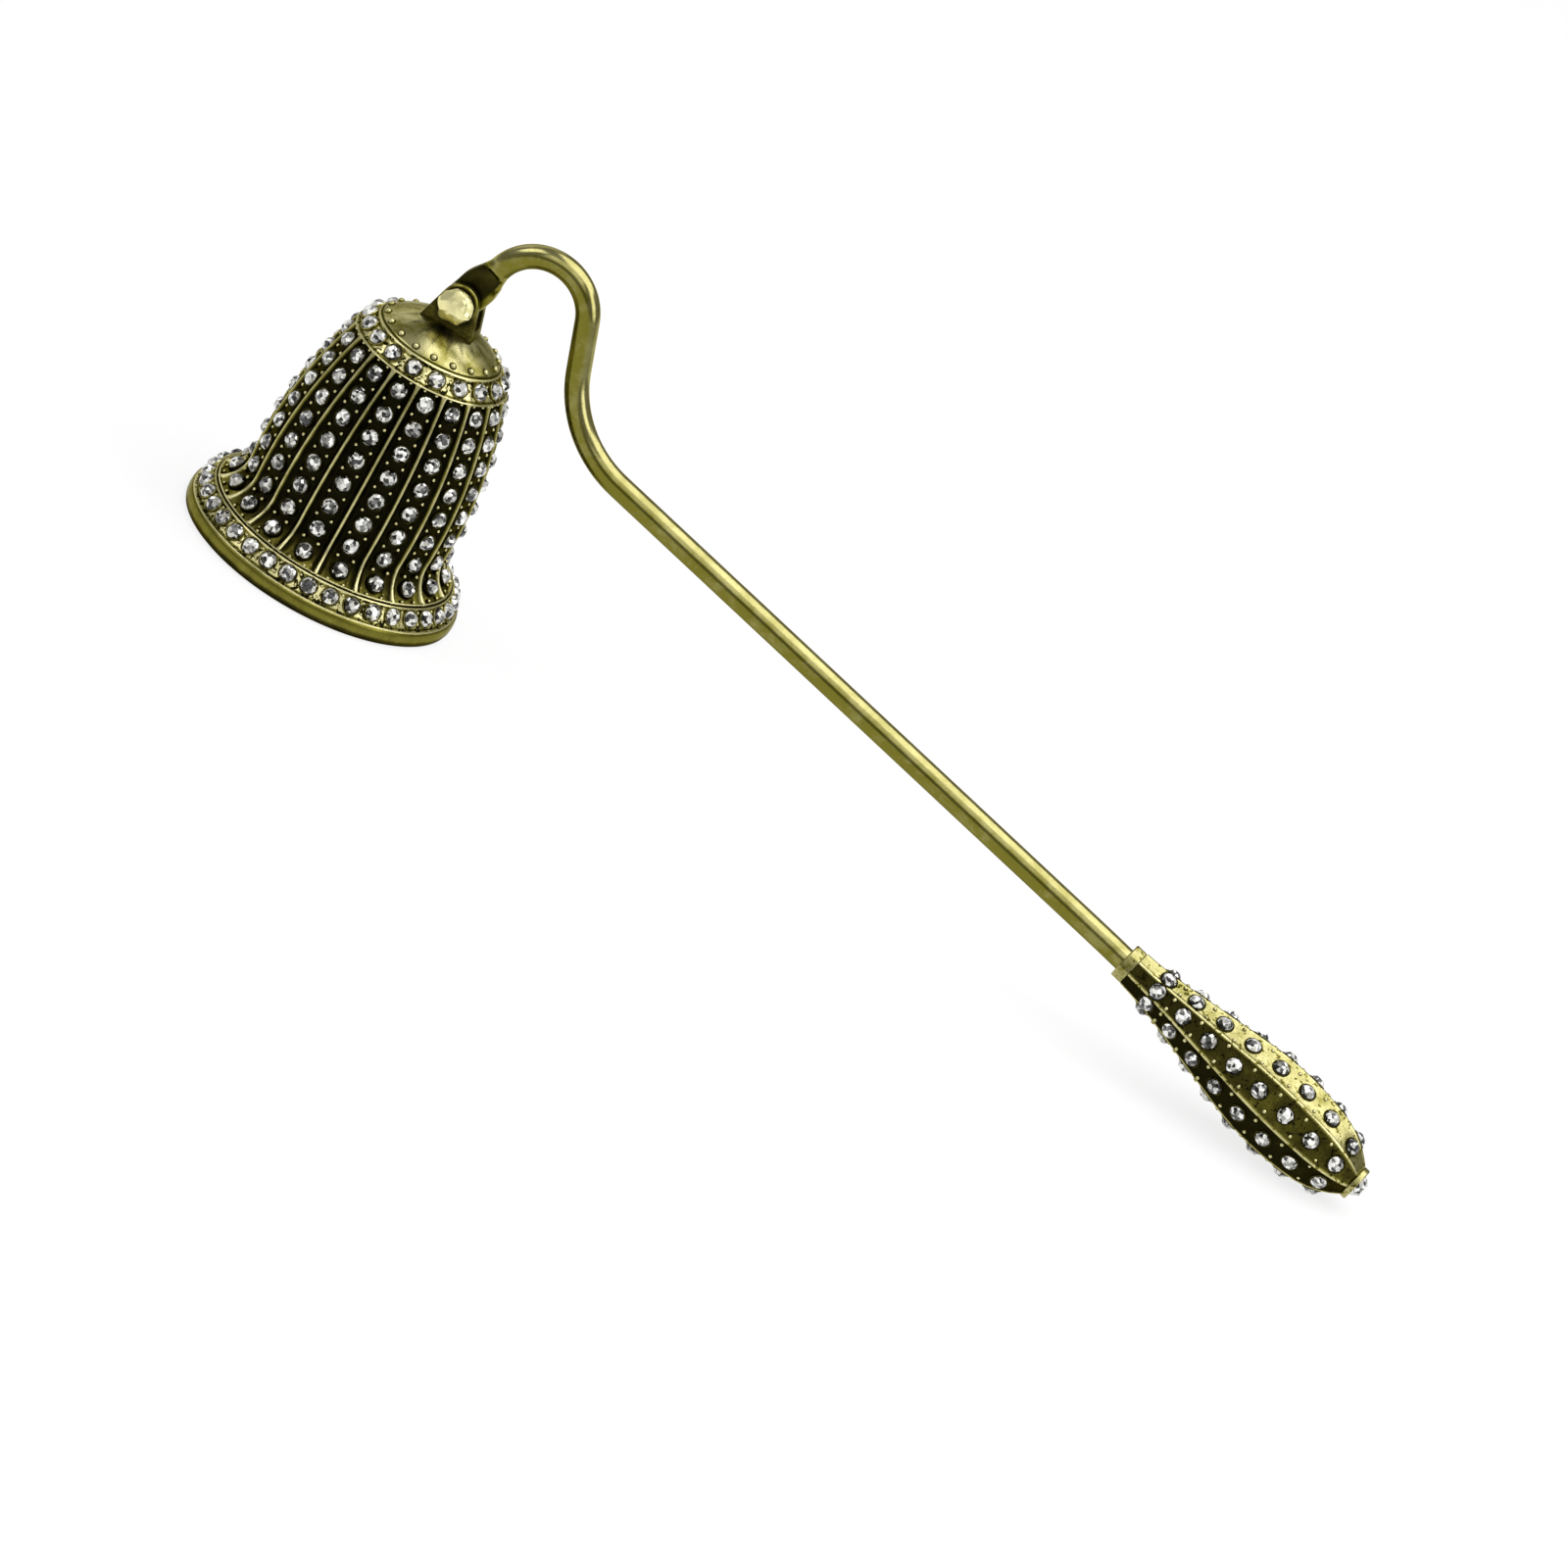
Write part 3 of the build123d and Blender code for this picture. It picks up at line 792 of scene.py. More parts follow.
class SNUFFER_OT_bell(bpy.types.Operator):
    """Cast the ribbed bell with its bands, ring lines, brushed dome and hollow inside"""

    bl_idname = "snuffer.bell"
    bl_label = "Bell"

    def execute(self, context):
        sizes = context.scene.snuffer_bell
        bm = bmesh.new()
        rim = self.outside(bm, sizes)
        self.inside(bm, sizes, rim)
        finishes = ["Cast brass", "Brushed dome", "Band brass"]
        add_piece("Ribbed_bell", bm, finishes, "bell", ["bell_shell"])
        return {"FINISHED"}

    def columns(self, sizes, radius):
        """Every column round the bell: its turn, its distance from the nearer rib, its angle."""
        half_step = math.pi / sizes.rib_count
        reach = RIB_COLUMNS[-1] * MM / radius
        half = [(value * MM / radius, value * MM) for value in RIB_COLUMNS]
        for value in PANEL_COLUMNS:
            angle = reach + (half_step - reach) * value
            half.append((angle, angle * radius))
        half += [(2 * half_step - angle, across) for angle, across in half[-2:0:-1]]
        for rib in range(sizes.rib_count):
            for angle, across in half:
                yield 2 * half_step * rib + angle, across, angle - half_step

    def outside(self, bm, sizes):
        """The ribs, bands, lip and dome, from the rim's edge up. Gives back the rim's row."""
        relief = BellRelief(sizes)
        lip_end, skirt, shoulder, crown = relief.rings
        rows = []
        for mark in relief.rows():
            base = relief.outline.at(mark)
            outward = relief.outline.outward(mark)
            if base.x < 1.5 * MM:
                break
            points = []
            for turn, across, angle in self.columns(sizes, max(base.x, 5 * MM)):
                depth = relief.depth(mark, base.x, across, angle)
                point = base - outward * depth
                shade = relief.darkness(mark, depth)
                points.append((round_point(point.x, turn, point.y), shade))
            rows.append((mark, add_row(bm, points)))
        for (mark, lower), (_, upper) in zip(rows, rows[1:]):
            in_dome = mark > crown + 0.4 * MM
            in_band = lip_end < mark < skirt - 0.5 * MM or shoulder < mark < crown - 0.2 * MM
            bridge(bm, lower, upper, 1 if in_dome else 2 if in_band else 0)
        bm.faces.new(rows[-1][1])
        return rows[0][1]

    def inside(self, bm, sizes, lower):
        """The flat rim and the smooth hollow over it."""
        hollow = [Vector((sizes.bore_radius, 0))] + bell_side(sizes, sizes.wall)
        neck = hollow[-1]
        apex = sizes.crown_height + sizes.dome_rise - sizes.dome_wall
        hollow += cap_arc(neck.x, neck.y, apex - neck.y, 12)[1:-1]
        for index, point in enumerate(hollow):
            if 0 < index < len(hollow) - 1 and index % 3:
                continue
            shade = 0.25 if index else 0.1
            turns = [column[0] for column in self.columns(sizes, sizes.bore_radius)]
            points = [(round_point(point.x, turn, point.y), shade) for turn in turns]
            row = add_row(bm, points)
            bridge(bm, row, lower, 1 if index else 0)
            lower = row
        bm.faces.new(lower)


# The shown stones are this much slimmer than their nodes, to stay inside them when they tilt.
STONE_FIT = 0.97


def nodes_like(start):
    """The names of the nodes that start alike, in order."""
    return sorted(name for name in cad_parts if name.startswith(start))


def stone_seats(node):
    """The plane that each stone of a node sits on, as a matrix with Z out of the stone."""
    bm = bmesh.new()
    bm.from_mesh(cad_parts[node].data)
    bmesh.ops.remove_doubles(bm, verts=bm.verts, dist=WELD)
    seats = []
    waiting = set(bm.verts)
    while waiting:
        island = set()
        edge = {waiting.pop()}
        while edge:
            island |= edge
            edge = {e.other_vert(v) for v in edge for e in v.link_edges} - island
        waiting -= island
        faces = {face for vertex in island for face in vertex.link_faces}
        areas = {}
        for face in faces:
            key = tuple(round(value, 2) + 0.0 for value in face.normal)
            total, normal, corners = areas.get(key, (0.0, Vector(), set()))
            area = face.calc_area()
            areas[key] = (total + area, normal + face.normal * area, corners | set(face.verts))
        _, normal, corners = max(areas.values(), key=lambda entry: entry[0])
        centre = sum((vertex.co for vertex in corners), Vector()) / len(corners)
        seats.append(facing(centre, -normal.normalized()))
    bm.free()
    return sorted(seats, key=lambda seat: tuple(round(value, 6) for value in seat.translation))


def facing(origin, outward):
    """A plane at a place, with Z out of the surface and X level."""
    level = Vector((0, 0, 1)).cross(outward)
    if level.length < 1e-4:
        level = Vector((1, 0, 0))
    level.normalize()
    up = outward.cross(level)
    turn = Matrix((level, up, outward)).transposed().to_4x4()
    return Matrix.Translation(origin) @ turn


def cut_on(bm, seat, radius, height, table_share, turn):
    """A round brilliant: table, stars, kites and girdle facets."""

    def ring(share_out, share_up, count, shift):
        angles = [turn + math.tau * (index + shift) / count for index in range(count)]
        reach, up = radius * share_out, height * share_up
        return add_row(bm, [(seat @ round_point(reach, angle, up), 0.0) for angle in angles])

    table = ring(table_share, 1.0, 8, 0.0)
    middle = ring(0.82, 0.62, 8, 0.5)
    girdle = ring(1.0, 0.2, 16, 0.0)
    base = ring(1.0, 0.0, 16, 0.0)
    bm.faces.new(table)
    bm.faces.new(base[::-1])
    for index in range(8):
        after = (index + 1) % 8
        bm.faces.new((table[index], middle[index], table[after]))
        bm.faces.new((table[index], middle[index - 1], girdle[2 * index], middle[index]))
        bm.faces.new((middle[index], girdle[2 * index], girdle[2 * index + 1]))
        bm.faces.new((middle[index], girdle[2 * index + 1], girdle[(2 * index + 2) % 16]))
    bridge(bm, base, girdle)


def seat_on(bm, seat, radius, width, lift, worn=0.0):
    """The dark raised seat that holds one stone, less dark where it is worn."""
    profile = [
        (radius * 0.96, lift * 0.5, BLACK),
        (radius + width * 0.35, lift * 0.75, 0.9),
        (radius + width * 0.7, lift, 0.25),
        (radius + width * 0.9, lift * 0.6, UMBER),
        (radius + width * 1.05, -0.2 * MM, BLACK),
        (radius + width * 1.1, -0.7 * MM, BLACK),
    ]
    turn_on(bm, seat, [(out, up, dark - worn) for out, up, dark in profile], 20)


def grain_on(bm, seat, across, along, radius, lift=0.0):
    """One small round grain of metal on a surface, at a place beside a seat."""
    place = seat @ Matrix.Translation((across, along, lift))
    profile = [
        (radius * 1.15, -0.6 * MM, BLACK),
        (radius * 1.05, -0.1 * radius, UMBER),
        (radius * 0.9, radius * 0.4, -0.2),
        (radius * 0.5, radius * 0.8, -0.45),
        (0, radius * 0.92, WORN),
    ]
    turn_on(bm, place, profile, 8)


def between(first, second):
    """The plane halfway between two seats."""
    outward = (first.col[2].to_3d() + second.col[2].to_3d()).normalized()
    return facing((first.translation + second.translation) / 2, outward)


def round_axis(seats, home=None):
    """Seats in their order round the bell's axis, or round the Z axis of another place."""

    def turn_of(seat):
        point = home @ seat.translation if home else seat.translation
        return math.atan2(point.y, point.x)

    return sorted(seats, key=turn_of)


class SNUFFER_OT_bell_stones(bpy.types.Operator):
    """Set the bell's stones in their seats, with grains of metal beside them"""

    bl_idname = "snuffer.bell_stones"
    bl_label = "Bell's stones"

    def execute(self, context):
        sizes = context.scene.snuffer_stones
        bell = context.scene.snuffer_bell
        chance = random.Random(7)
        setting = bmesh.new()
        rings = {}
        width, height = sizes.bell_radius * STONE_FIT, sizes.bell_height
        nodes = ["lower_band_stones", "upper_band_stones"] + nodes_like("panel_stones_row_")
        for node in nodes:
            bm = bmesh.new()
            rings[node] = round_axis(stone_seats(node))
            worn = 0.0 if node.startswith("panel") else 0.55
            for seat in rings[node]:
                turn = chance.uniform(0, math.tau)
                tilt = Matrix.Rotation(chance.uniform(-0.06, 0.06), 4, "X")
                cut_on(bm, seat @ tilt, width, height, sizes.table_share, turn)
                seat_on(setting, seat, sizes.bell_radius, sizes.seat_width, 0.3 * MM, worn)
            add_piece("Cut_" + node, bm, ["Cut stone"], "bell", [node], crease=3)
        self.panel_grains(setting, rings, sizes)
        self.band_grains(setting, rings["lower_band_stones"], sizes, 0.95 * MM)
        self.band_grains(setting, rings["upper_band_stones"], sizes, 0.75 * MM)
        self.dome_beads(setting, bell)
        add_piece("Bell_setting", setting, ["Cast brass"], "bell")
        return {"FINISHED"}

    def panel_grains(self, bm, rings, sizes):
        """Two grains in each gap between a panel's stones, and two past each end."""
        rows = [rings[name] for name in sorted(rings) if name.startswith("panel")]
        reach = sizes.bell_radius * 0.98
        for column in zip(*rows):
            for first, second in zip(column, column[1:]):
                gap = between(first, second)
                for side in (-1, 1):
                    grain_on(bm, gap, side * reach, 0, sizes.grain_radius)
            step = (column[1].translation - column[0].translation).length / 2
            for side in (-1, 1):
                grain_on(bm, column[0], side * reach, -step, sizes.grain_radius)
                grain_on(bm, column[-1], side * reach * 0.75, step, sizes.grain_radius)

    def band_grains(self, bm, seats, sizes, reach):
        """Two grains between neighbouring stones of a band."""
        for first, second in zip(seats, seats[1:] + seats[:1]):
            gap = between(first, second)
            for side in (-1, 1):
                grain_on(bm, gap, 0, side * reach, sizes.grain_radius * 0.85)

    def dome_beads(self, bm, bell):
        """A ring of beads round the foot of the dome, one over each rib."""
        rise, edge = bell.dome_rise, bell.crown_radius
        sphere = (edge**2 + rise**2) / (2 * rise)
        centre = Vector((0, 0, bell.crown_height + rise - sphere))
        lean = math.asin(bell.bead_ring_radius / sphere)
        for rib in range(bell.rib_count):
            turn = math.tau * rib / bell.rib_count
            outward = round_point(math.sin(lean), turn, math.cos(lean))
            seat = facing(centre + outward * sphere, outward)
            foot = [(1.35, -0.1 * MM, UMBER), (1.2, 0.02 * MM, UMBER), (0.9, 0.02 * MM, 0.6)]
            turn_on(bm, seat, [(bell.bead_radius * out, up, dark) for out, up, dark in foot], 12)
            grain_on(bm, seat, 0, 0, bell.bead_radius)


def softened_copy(name, node, finish, body, edge, angle=30):
    """A piece with the shape of its node, its cast edges rounded."""
    bm = bmesh.new()
    bm.from_mesh(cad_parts[node].data)
    bmesh.ops.remove_doubles(bm, verts=bm.verts, dist=WELD)
    bmesh.ops.dissolve_limit(bm, angle_limit=math.radians(2), verts=bm.verts, edges=bm.edges)
    piece = add_piece(name, bm, [finish], body, [node], crease=60)
    bevel = piece.modifiers.new("Rounded edges", "BEVEL")
    bevel.width = edge
    bevel.segments = 3
    bevel.limit_method = "ANGLE"
    bevel.angle_limit = math.radians(angle)
    bevel.harden_normals = False
    return piece


def slice_up(piece, low, high, step):
    """Cut a piece's large faces by level and upright planes, so that patina and painted shade can
    fade over them.
    """
    bm = bmesh.new()
    bm.from_mesh(piece.data)
    for axis in (0, 2):
        normal = Vector((axis == 0, 0, axis == 2))
        for index in range(1, math.ceil((high[axis] - low[axis]) / step)):
            place = normal * (low[axis] + index * step)
            geometry = bm.verts[:] + bm.edges[:] + bm.faces[:]
            plane = {"plane_co": place, "plane_no": normal}
            bmesh.ops.bisect_plane(bm, geom=geometry, dist=0.001 * MM, **plane)
    bm.to_mesh(piece.data)
    bm.free()


def set_patina_and_light(piece, depth_at):
    """Give each point of a piece its level of patina and painted light."""
    mesh = piece.data
    layer = mesh.attributes.get("recess") or mesh.attributes.new("recess", "FLOAT", "POINT")
    for index, vertex in enumerate(mesh.vertices):
        layer.data[index].value = depth_at(vertex.co)


# The worn flats on the pin's head: which way each one looks, and how much of the head it leaves.
NUGGET_FLATS = (
    ((0.15, 0.25, 1.0), 0.86),
    ((0.85, 0.35, 0.6), 0.85),
    ((-0.75, 0.55, 0.65), 0.84),
    ((0.1, -0.95, 0.6), 0.83),
    ((-0.8, -0.45, 0.4), 0.9),
    ((0.75, -0.6, 0.3), 0.92),
    ((0.1, 1.0, 0.15), 0.96),
    ((1.0, 0.1, -0.35), 0.96),
    ((-1.0, 0.1, -0.3), 0.95),
)
FLATTENING = 0.86


class SNUFFER_OT_hinge(bpy.types.Operator):
    """Make the cast ears on the dome and the pin with its rough round head"""

    bl_idname = "snuffer.hinge"
    bl_label = "Hinge"

    def execute(self, context):
        sizes = context.scene.snuffer_hinge
        ears = softened_copy("Hinge_ears", "hinge_clevis", "Hinge brass", "bell", sizes.edge)
        low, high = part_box("hinge_clevis")
        settle(ears)
        slice_up(ears, low, high, 0.45 * MM)
        pivot = Vector((0, sizes.pivot_height))

        def ear_patina_and_shadow(point):
            """Painted shadow round the pin's head, dark at the foot, worn along the round edge."""
            out = (Vector((point.x, point.z)) - pivot).length
            above = smooth_step(low.z + 0.2 * MM, low.z + 1.2 * MM, point.z)
            edge = smooth_step(2.75 * MM, 3.2 * MM, out if point.z > pivot.y else abs(point.x))
            edge *= smooth_step(-2.0 * MM, 0.5 * MM, point.z - pivot.y)
            # Painted shadow of the pin's head: the ear is darker within a ring round it.
            head_shadow = 0.3 * (1 - smooth_step(3.4 * MM, 4.4 * MM, out))
            return 0.8 - above * (0.42 + 0.7 * edge - head_shadow)

        set_patina_and_light(ears, ear_patina_and_shadow)
        self.pin(sizes)
        return {"FINISHED"}

    def pin(self, sizes):
        """The shank with its peened rear end, and the rough head on its front end."""
        bm = bmesh.new()
        face, radius = sizes.ear_face, sizes.pin_radius
        profile = [
            (0, -face - 1.0 * MM, 0.3),
            (radius, -face - 1.0 * MM, 0.3),
            (radius, face, 0.3),
            (radius * 1.7, face, 0.9),
            (radius * 1.55, face + 0.35 * MM, 0.3),
            (radius * 1.1, face + 0.68 * MM, 0.05),
            (radius * 0.5, face + 0.78 * MM, 0.0),
            (0, face + 0.8 * MM, 0.0),
        ]
        turn_on(bm, facing(Vector((0, 0, sizes.pivot_height)), PIN_AXIS), profile, 28)
        head = self.nugget(sizes)
        bm.from_mesh(head)
        bpy.data.meshes.remove(head)
        add_piece("Hinge_pin", bm, ["Pin brass"], "bell", ["hinge_pin"], crease=11)

    def nugget(self, sizes):
        """The mesh of the pin's head: a flattened ball with worn flats and lumps."""
        bm = bmesh.new()
        layer = patina_and_light_layer(bm)
        bmesh.ops.create_icosphere(bm, subdivisions=3, radius=1.0)
        half = sizes.head_height / 2
        middle = Vector((0, 0, half))
        reach = Vector((sizes.head_radius, sizes.head_radius, half))
        shape = Matrix.Translation(middle) @ Matrix.Diagonal((*reach, 1))
        bmesh.ops.transform(bm, matrix=shape, verts=bm.verts)
        for direction, share_kept in NUGGET_FLATS:
            out = Vector(direction).normalized()
            flat = (out * reach).length * share_kept
            for vertex in bm.verts:
                over = (vertex.co - middle).dot(out) - flat
                vertex.co -= out * max(0.0, over) * FLATTENING
        for vertex in bm.verts:
            lump = noise.noise(vertex.co / (1.3 * MM)) + 0.5 * noise.noise(vertex.co / (0.5 * MM))
            vertex.co -= (vertex.co - middle).normalized() * 0.28 * MM * (lump + 0.5)
            # Darker at the foot of the head, and over the rest of it the painted highlight colour
            # of the pin brass.
            vertex[layer] = 0.55 - 1.25 * smooth_step(0.0, half * 0.8, vertex.co.z)
        front = facing(Vector((0, -sizes.ear_face, sizes.pivot_height)), -PIN_AXIS)
        bmesh.ops.transform(bm, matrix=front, verts=bm.verts)
        mesh = bpy.data.meshes.new("Pin head")
        bm.to_mesh(mesh)
        bm.free()
        return mesh


def rod_line(sizes):
    """The rod's centre line from its paddle on, and the place and heading at the collar."""
    lean = math.pi / 2 - sizes.tang_lean
    start = Vector((math.cos(lean), math.sin(lean))) * sizes.paddle_length
    line = Path(start, lean)
    line.arc(sizes.bend_radius, -sizes.bend_turn)
    line.run(sizes.neck_length, 3)
    line.arc(sizes.lower_bend_radius, sizes.lower_turn)
    line.run(sizes.shaft_length, 24)
    line.arc(sizes.droop_radius, -sizes.droop_turn)
    collar = (line.place.copy(), line.heading)
    line.run(sizes.socket_depth * 0.9, 2)
    return line, collar


# Points round the rod, and rows of them along its tang and paddle.
ROD_ANGLES = [math.tau * side / 48 for side in range(48)]
PADDLE_ROWS = 66


class SNUFFER_OT_rod(bpy.types.Operator):
    """Draw the bent rod, from its scooped paddle and flat tang to the handle"""

    bl_idname = "snuffer.rod"
    bl_label = "Rod"

    def execute(self, context):
        sizes = context.scene.snuffer_rod
        hinge = context.scene.snuffer_hinge
        origin = Vector((0, 0, hinge.pivot_height))
        bm = bmesh.new()
        rows = self.paddle(bm, sizes, origin) + self.tube(bm, sizes, origin)
        bridge_all(bm, rows)
        bm.faces.new(rows[0])
        bm.faces.new(rows[-1])
        node = ["gooseneck_rod"]
        rod = add_piece("Bent_rod", bm, ["Satin rod"], "rod", node, crease=50)
        self.drill(rod, hinge)
        return {"FINISHED"}

    def paddle(self, bm, sizes, origin):
        """Rows of points from the tang's round end to the end of the paddle."""
        lean = math.pi / 2 - sizes.tang_lean
        along = Vector((math.cos(lean), 0, math.sin(lean)))
        across = Vector((along.z, 0, -along.x))
        start = -sizes.tang_end_radius
        rows = []
        for index in range(PADDLE_ROWS):
            distance = start + (sizes.paddle_length - start) * index / PADDLE_ROWS
            width = self.paddle_width(sizes, distance)
            points = []
            for angle in ROD_ANGLES:
                offset = width * math.cos(angle)
                thick = self.paddle_thickness(sizes, distance, offset)
                rise = thick * abs(math.sin(angle)) ** 0.9
                if thick < sizes.radius * 0.8:
                    rise = min(thick, rise * 3.2) if index else 0.0
                rise = math.copysign(rise, math.sin(angle))
                hollow = smooth_step(sizes.radius, sizes.tang_half_thickness * 1.1, thick)
                hollow *= 1 - smooth_step(1.9 * MM, 2.5 * MM, offset)
                point = origin + along * distance + across * offset + PIN_AXIS * rise
                points.append((point, 0.7 * hollow if distance > 0 else 0.4))
            rows.append(add_row(bm, points))
        return rows

    def tube(self, bm, sizes, origin):
        """Rows of points along the round rod, with painted shade along its underside and a painted
        highlight along its top.
        """
        line, _ = rod_line(sizes)
        rows = []
        for place, heading in zip(line.points, line.headings):
            out = Vector((math.sin(heading), 0, -math.cos(heading)))
            centre = origin + Vector((place.x, 0, place.y))
            points = []
            for angle in ROD_ANGLES:
                offset = out * math.cos(angle) + PIN_AXIS * math.sin(angle)
                # Painted shade along the rod's underside and a painted highlight along its top.
                stain_and_shade = 0.6 * smooth_step(0.5, 0.95, math.cos(angle))
                painted_top_light = 0.35 * smooth_step(0.2, 0.8, -math.cos(angle))
                points.append((centre + offset * sizes.radius, stain_and_shade - painted_top_light))
            rows.append(add_row(bm, points))
        return rows

    def paddle_width(self, sizes, distance):
        """Half the paddle's width in the rod's plane, at a distance from the pin."""
        if distance < 0:
            return max(0.05 * MM, math.sqrt(max(0.0, sizes.tang_end_radius**2 - distance**2)))
        done = smooth_step(sizes.paddle_widest, sizes.paddle_length, distance)
        grown = smooth_step(0, sizes.paddle_widest, distance)
        wide = sizes.tang_end_radius + (sizes.paddle_half_width - sizes.tang_end_radius) * grown
        return wide + (sizes.radius - wide) * done

    def paddle_thickness(self, sizes, distance, offset):
        """Half the paddle's thickness at a place, thin inside the scoop and full past its end."""
        flat = sizes.tang_half_thickness
        wide = sizes.scoop_radius * 1.9
        round_end = math.sqrt(max(0.0, wide**2 - offset**2)) - wide
        end = sizes.scoop_distance + sizes.scoop_radius + round_end
        full = smooth_step(end - 0.55 * MM, end + 0.25 * MM, distance)
        ridge = smooth_step(1.6 * MM, 2.4 * MM, offset) * smooth_step(4.2 * MM, 7.4 * MM, distance)
        return flat + (sizes.radius - flat) * max(full, ridge)

    def drill(self, rod, hinge):
        """Open the running hole for the pin in the tang."""
        bm = bmesh.new()
        place = facing(Vector((0, 0, hinge.pivot_height)), PIN_AXIS)
        hole, reach = hinge.pin_radius + 0.08 * MM, 3 * MM
        turn_on(bm, place, [(0, -reach, 0), (hole, -reach, 0), (hole, reach, 0), (0, reach, 0)], 36)
        bmesh.ops.recalc_face_normals(bm, faces=bm.faces)
        drill = new_object("Drill", bm)
        mesh = drill.data
        cut = rod.modifiers.new("Pin hole", "BOOLEAN")
        cut.operation = "DIFFERENCE"
        cut.solver = "EXACT"
        cut.object = drill
        settle(rod)
        bpy.data.objects.remove(drill)
        bpy.data.meshes.remove(mesh)


def settle(piece):
    """Apply a piece's modifiers to its mesh."""
    bpy.context.view_layer.update()
    shown = piece.evaluated_get(bpy.context.evaluated_depsgraph_get())
    mesh = bpy.data.meshes.new_from_object(shown)
    old = piece.data
    name = old.name
    piece.modifiers.clear()
    piece.data = mesh
    bpy.data.meshes.remove(old)
    mesh.name = name


def handle_place(context):
    """The plane where the collar starts, with Z along the handle and X up across it."""
    _, (place, heading) = rod_line(context.scene.snuffer_rod)
    along = Vector((math.cos(heading), 0, math.sin(heading)))
    up = PIN_AXIS.cross(along)
    turn = Matrix((up, along.cross(up), along)).transposed().to_4x4()
    origin = Vector((place.x, 0, place.y + context.scene.snuffer_hinge.pivot_height))
    return Matrix.Translation(origin) @ turn


def handle_side(sizes):
    """The middle of one flat, from the collar to the end cap, as apothem and distance."""
    side = Path((sizes.neck_apothem, sizes.collar_length), math.radians(87.5))
    side.arc(sizes.neck_radius, math.radians(-7), 8)
    side.run(sizes.swell_length, 10)
    side.arc(sizes.belly_radius, math.radians(18.5), 18)
    side.arc(sizes.tip_radius, math.radians(32.5), 14)
    return side.points


HANDLE_FACES = 8
HALF_FACE = math.pi / HANDLE_FACES
# Points across each face: beside a ridge in crest widths, then as shares of the half face.
RIDGE_STEPS = (0.0, 0.6, 1.2, 2.0, 3.4)
FACE_SHARES = (-0.55, -0.25, 0.0, 0.25, 0.55)
RIDGE_DEPTH = -0.3


class SNUFFER_OT_handle(bpy.types.Operator):
    """Cast the drop-shaped handle with its collar and end cap"""

    bl_idname = "snuffer.handle"
    bl_label = "Handle"

    def execute(self, context):
        sizes = context.scene.snuffer_handle
        place = handle_place(context)
        bm = bmesh.new()
        rows = [add_row(bm, self.row(sizes, place, point)) for point in handle_side(sizes)]
        bridge_all(bm, rows)
        bm.faces.new(rows[0])
        bm.faces.new(rows[-1])
        node = ["handle_body"]
        add_piece("Handle_drop", bm, ["Handle brass"], "rod", node, crease=50)
        collar = softened_copy("Handle_collar", "handle_collar", "Handle brass", "rod", 0.25 * MM)
        set_patina_and_light(collar, lambda point: -0.12)
        cap = softened_copy("Handle_cap", "handle_end_cap", "Handle brass", "rod", 0.2 * MM)
        set_patina_and_light(cap, lambda point: -0.15)
        return {"FINISHED"}

    def row(self, sizes, place, point):
        """Points round the handle at a place on its side, dark on the faces, worn on the ridges,
        darker towards the collar, with a painted highlight on the faces turned up and painted shade
        on those turned down.
        """
        crest = sizes.ridge_half_width
        corner = point.x * math.tan(HALF_FACE)
        spots = [-corner + crest * step for step in RIDGE_STEPS]
        spots += [corner * share_out for share_out in FACE_SHARES]
        spots += [corner - crest * step for step in RIDGE_STEPS[:0:-1]]
        points = []
        for face in range(HANDLE_FACES):
            turn = HALF_FACE * (2 * face + 1)
            out, side = round_point(1, turn), round_point(1, turn + math.pi / 2)
            rise = (place.to_3x3() @ out).z
            # The faces grow lighter from the collar towards the tip.
            dark = 1.02 - 0.36 * smooth_step(6 * MM, 42 * MM, point.y)
            # Painted light and shade: faces turned up are painted lighter, faces turned down
            # darker.
            painted_top_light = (dark + 0.16) * smooth_step(0.2, 0.6, rise)
            dark += 0.3 * smooth_step(0.2, 0.6, -rise) - painted_top_light
            for spot in spots:
                edge = corner - abs(spot)
                sink = sizes.hollow * smooth_step(crest * 0.8, crest * 3.0, edge)
                worn = 0.1 * MM * (1 - smooth_step(0, crest * 1.4, edge))
                local = out * (point.x - sink - worn * 0.4)
                local += side * spot * (1 - worn / max(corner, MM))
                local.z = point.y
                on_face = smooth_step(crest * 0.9, crest * 2.6, edge)
                points.append((place @ local, (dark - RIDGE_DEPTH) * on_face + RIDGE_DEPTH))
        return points


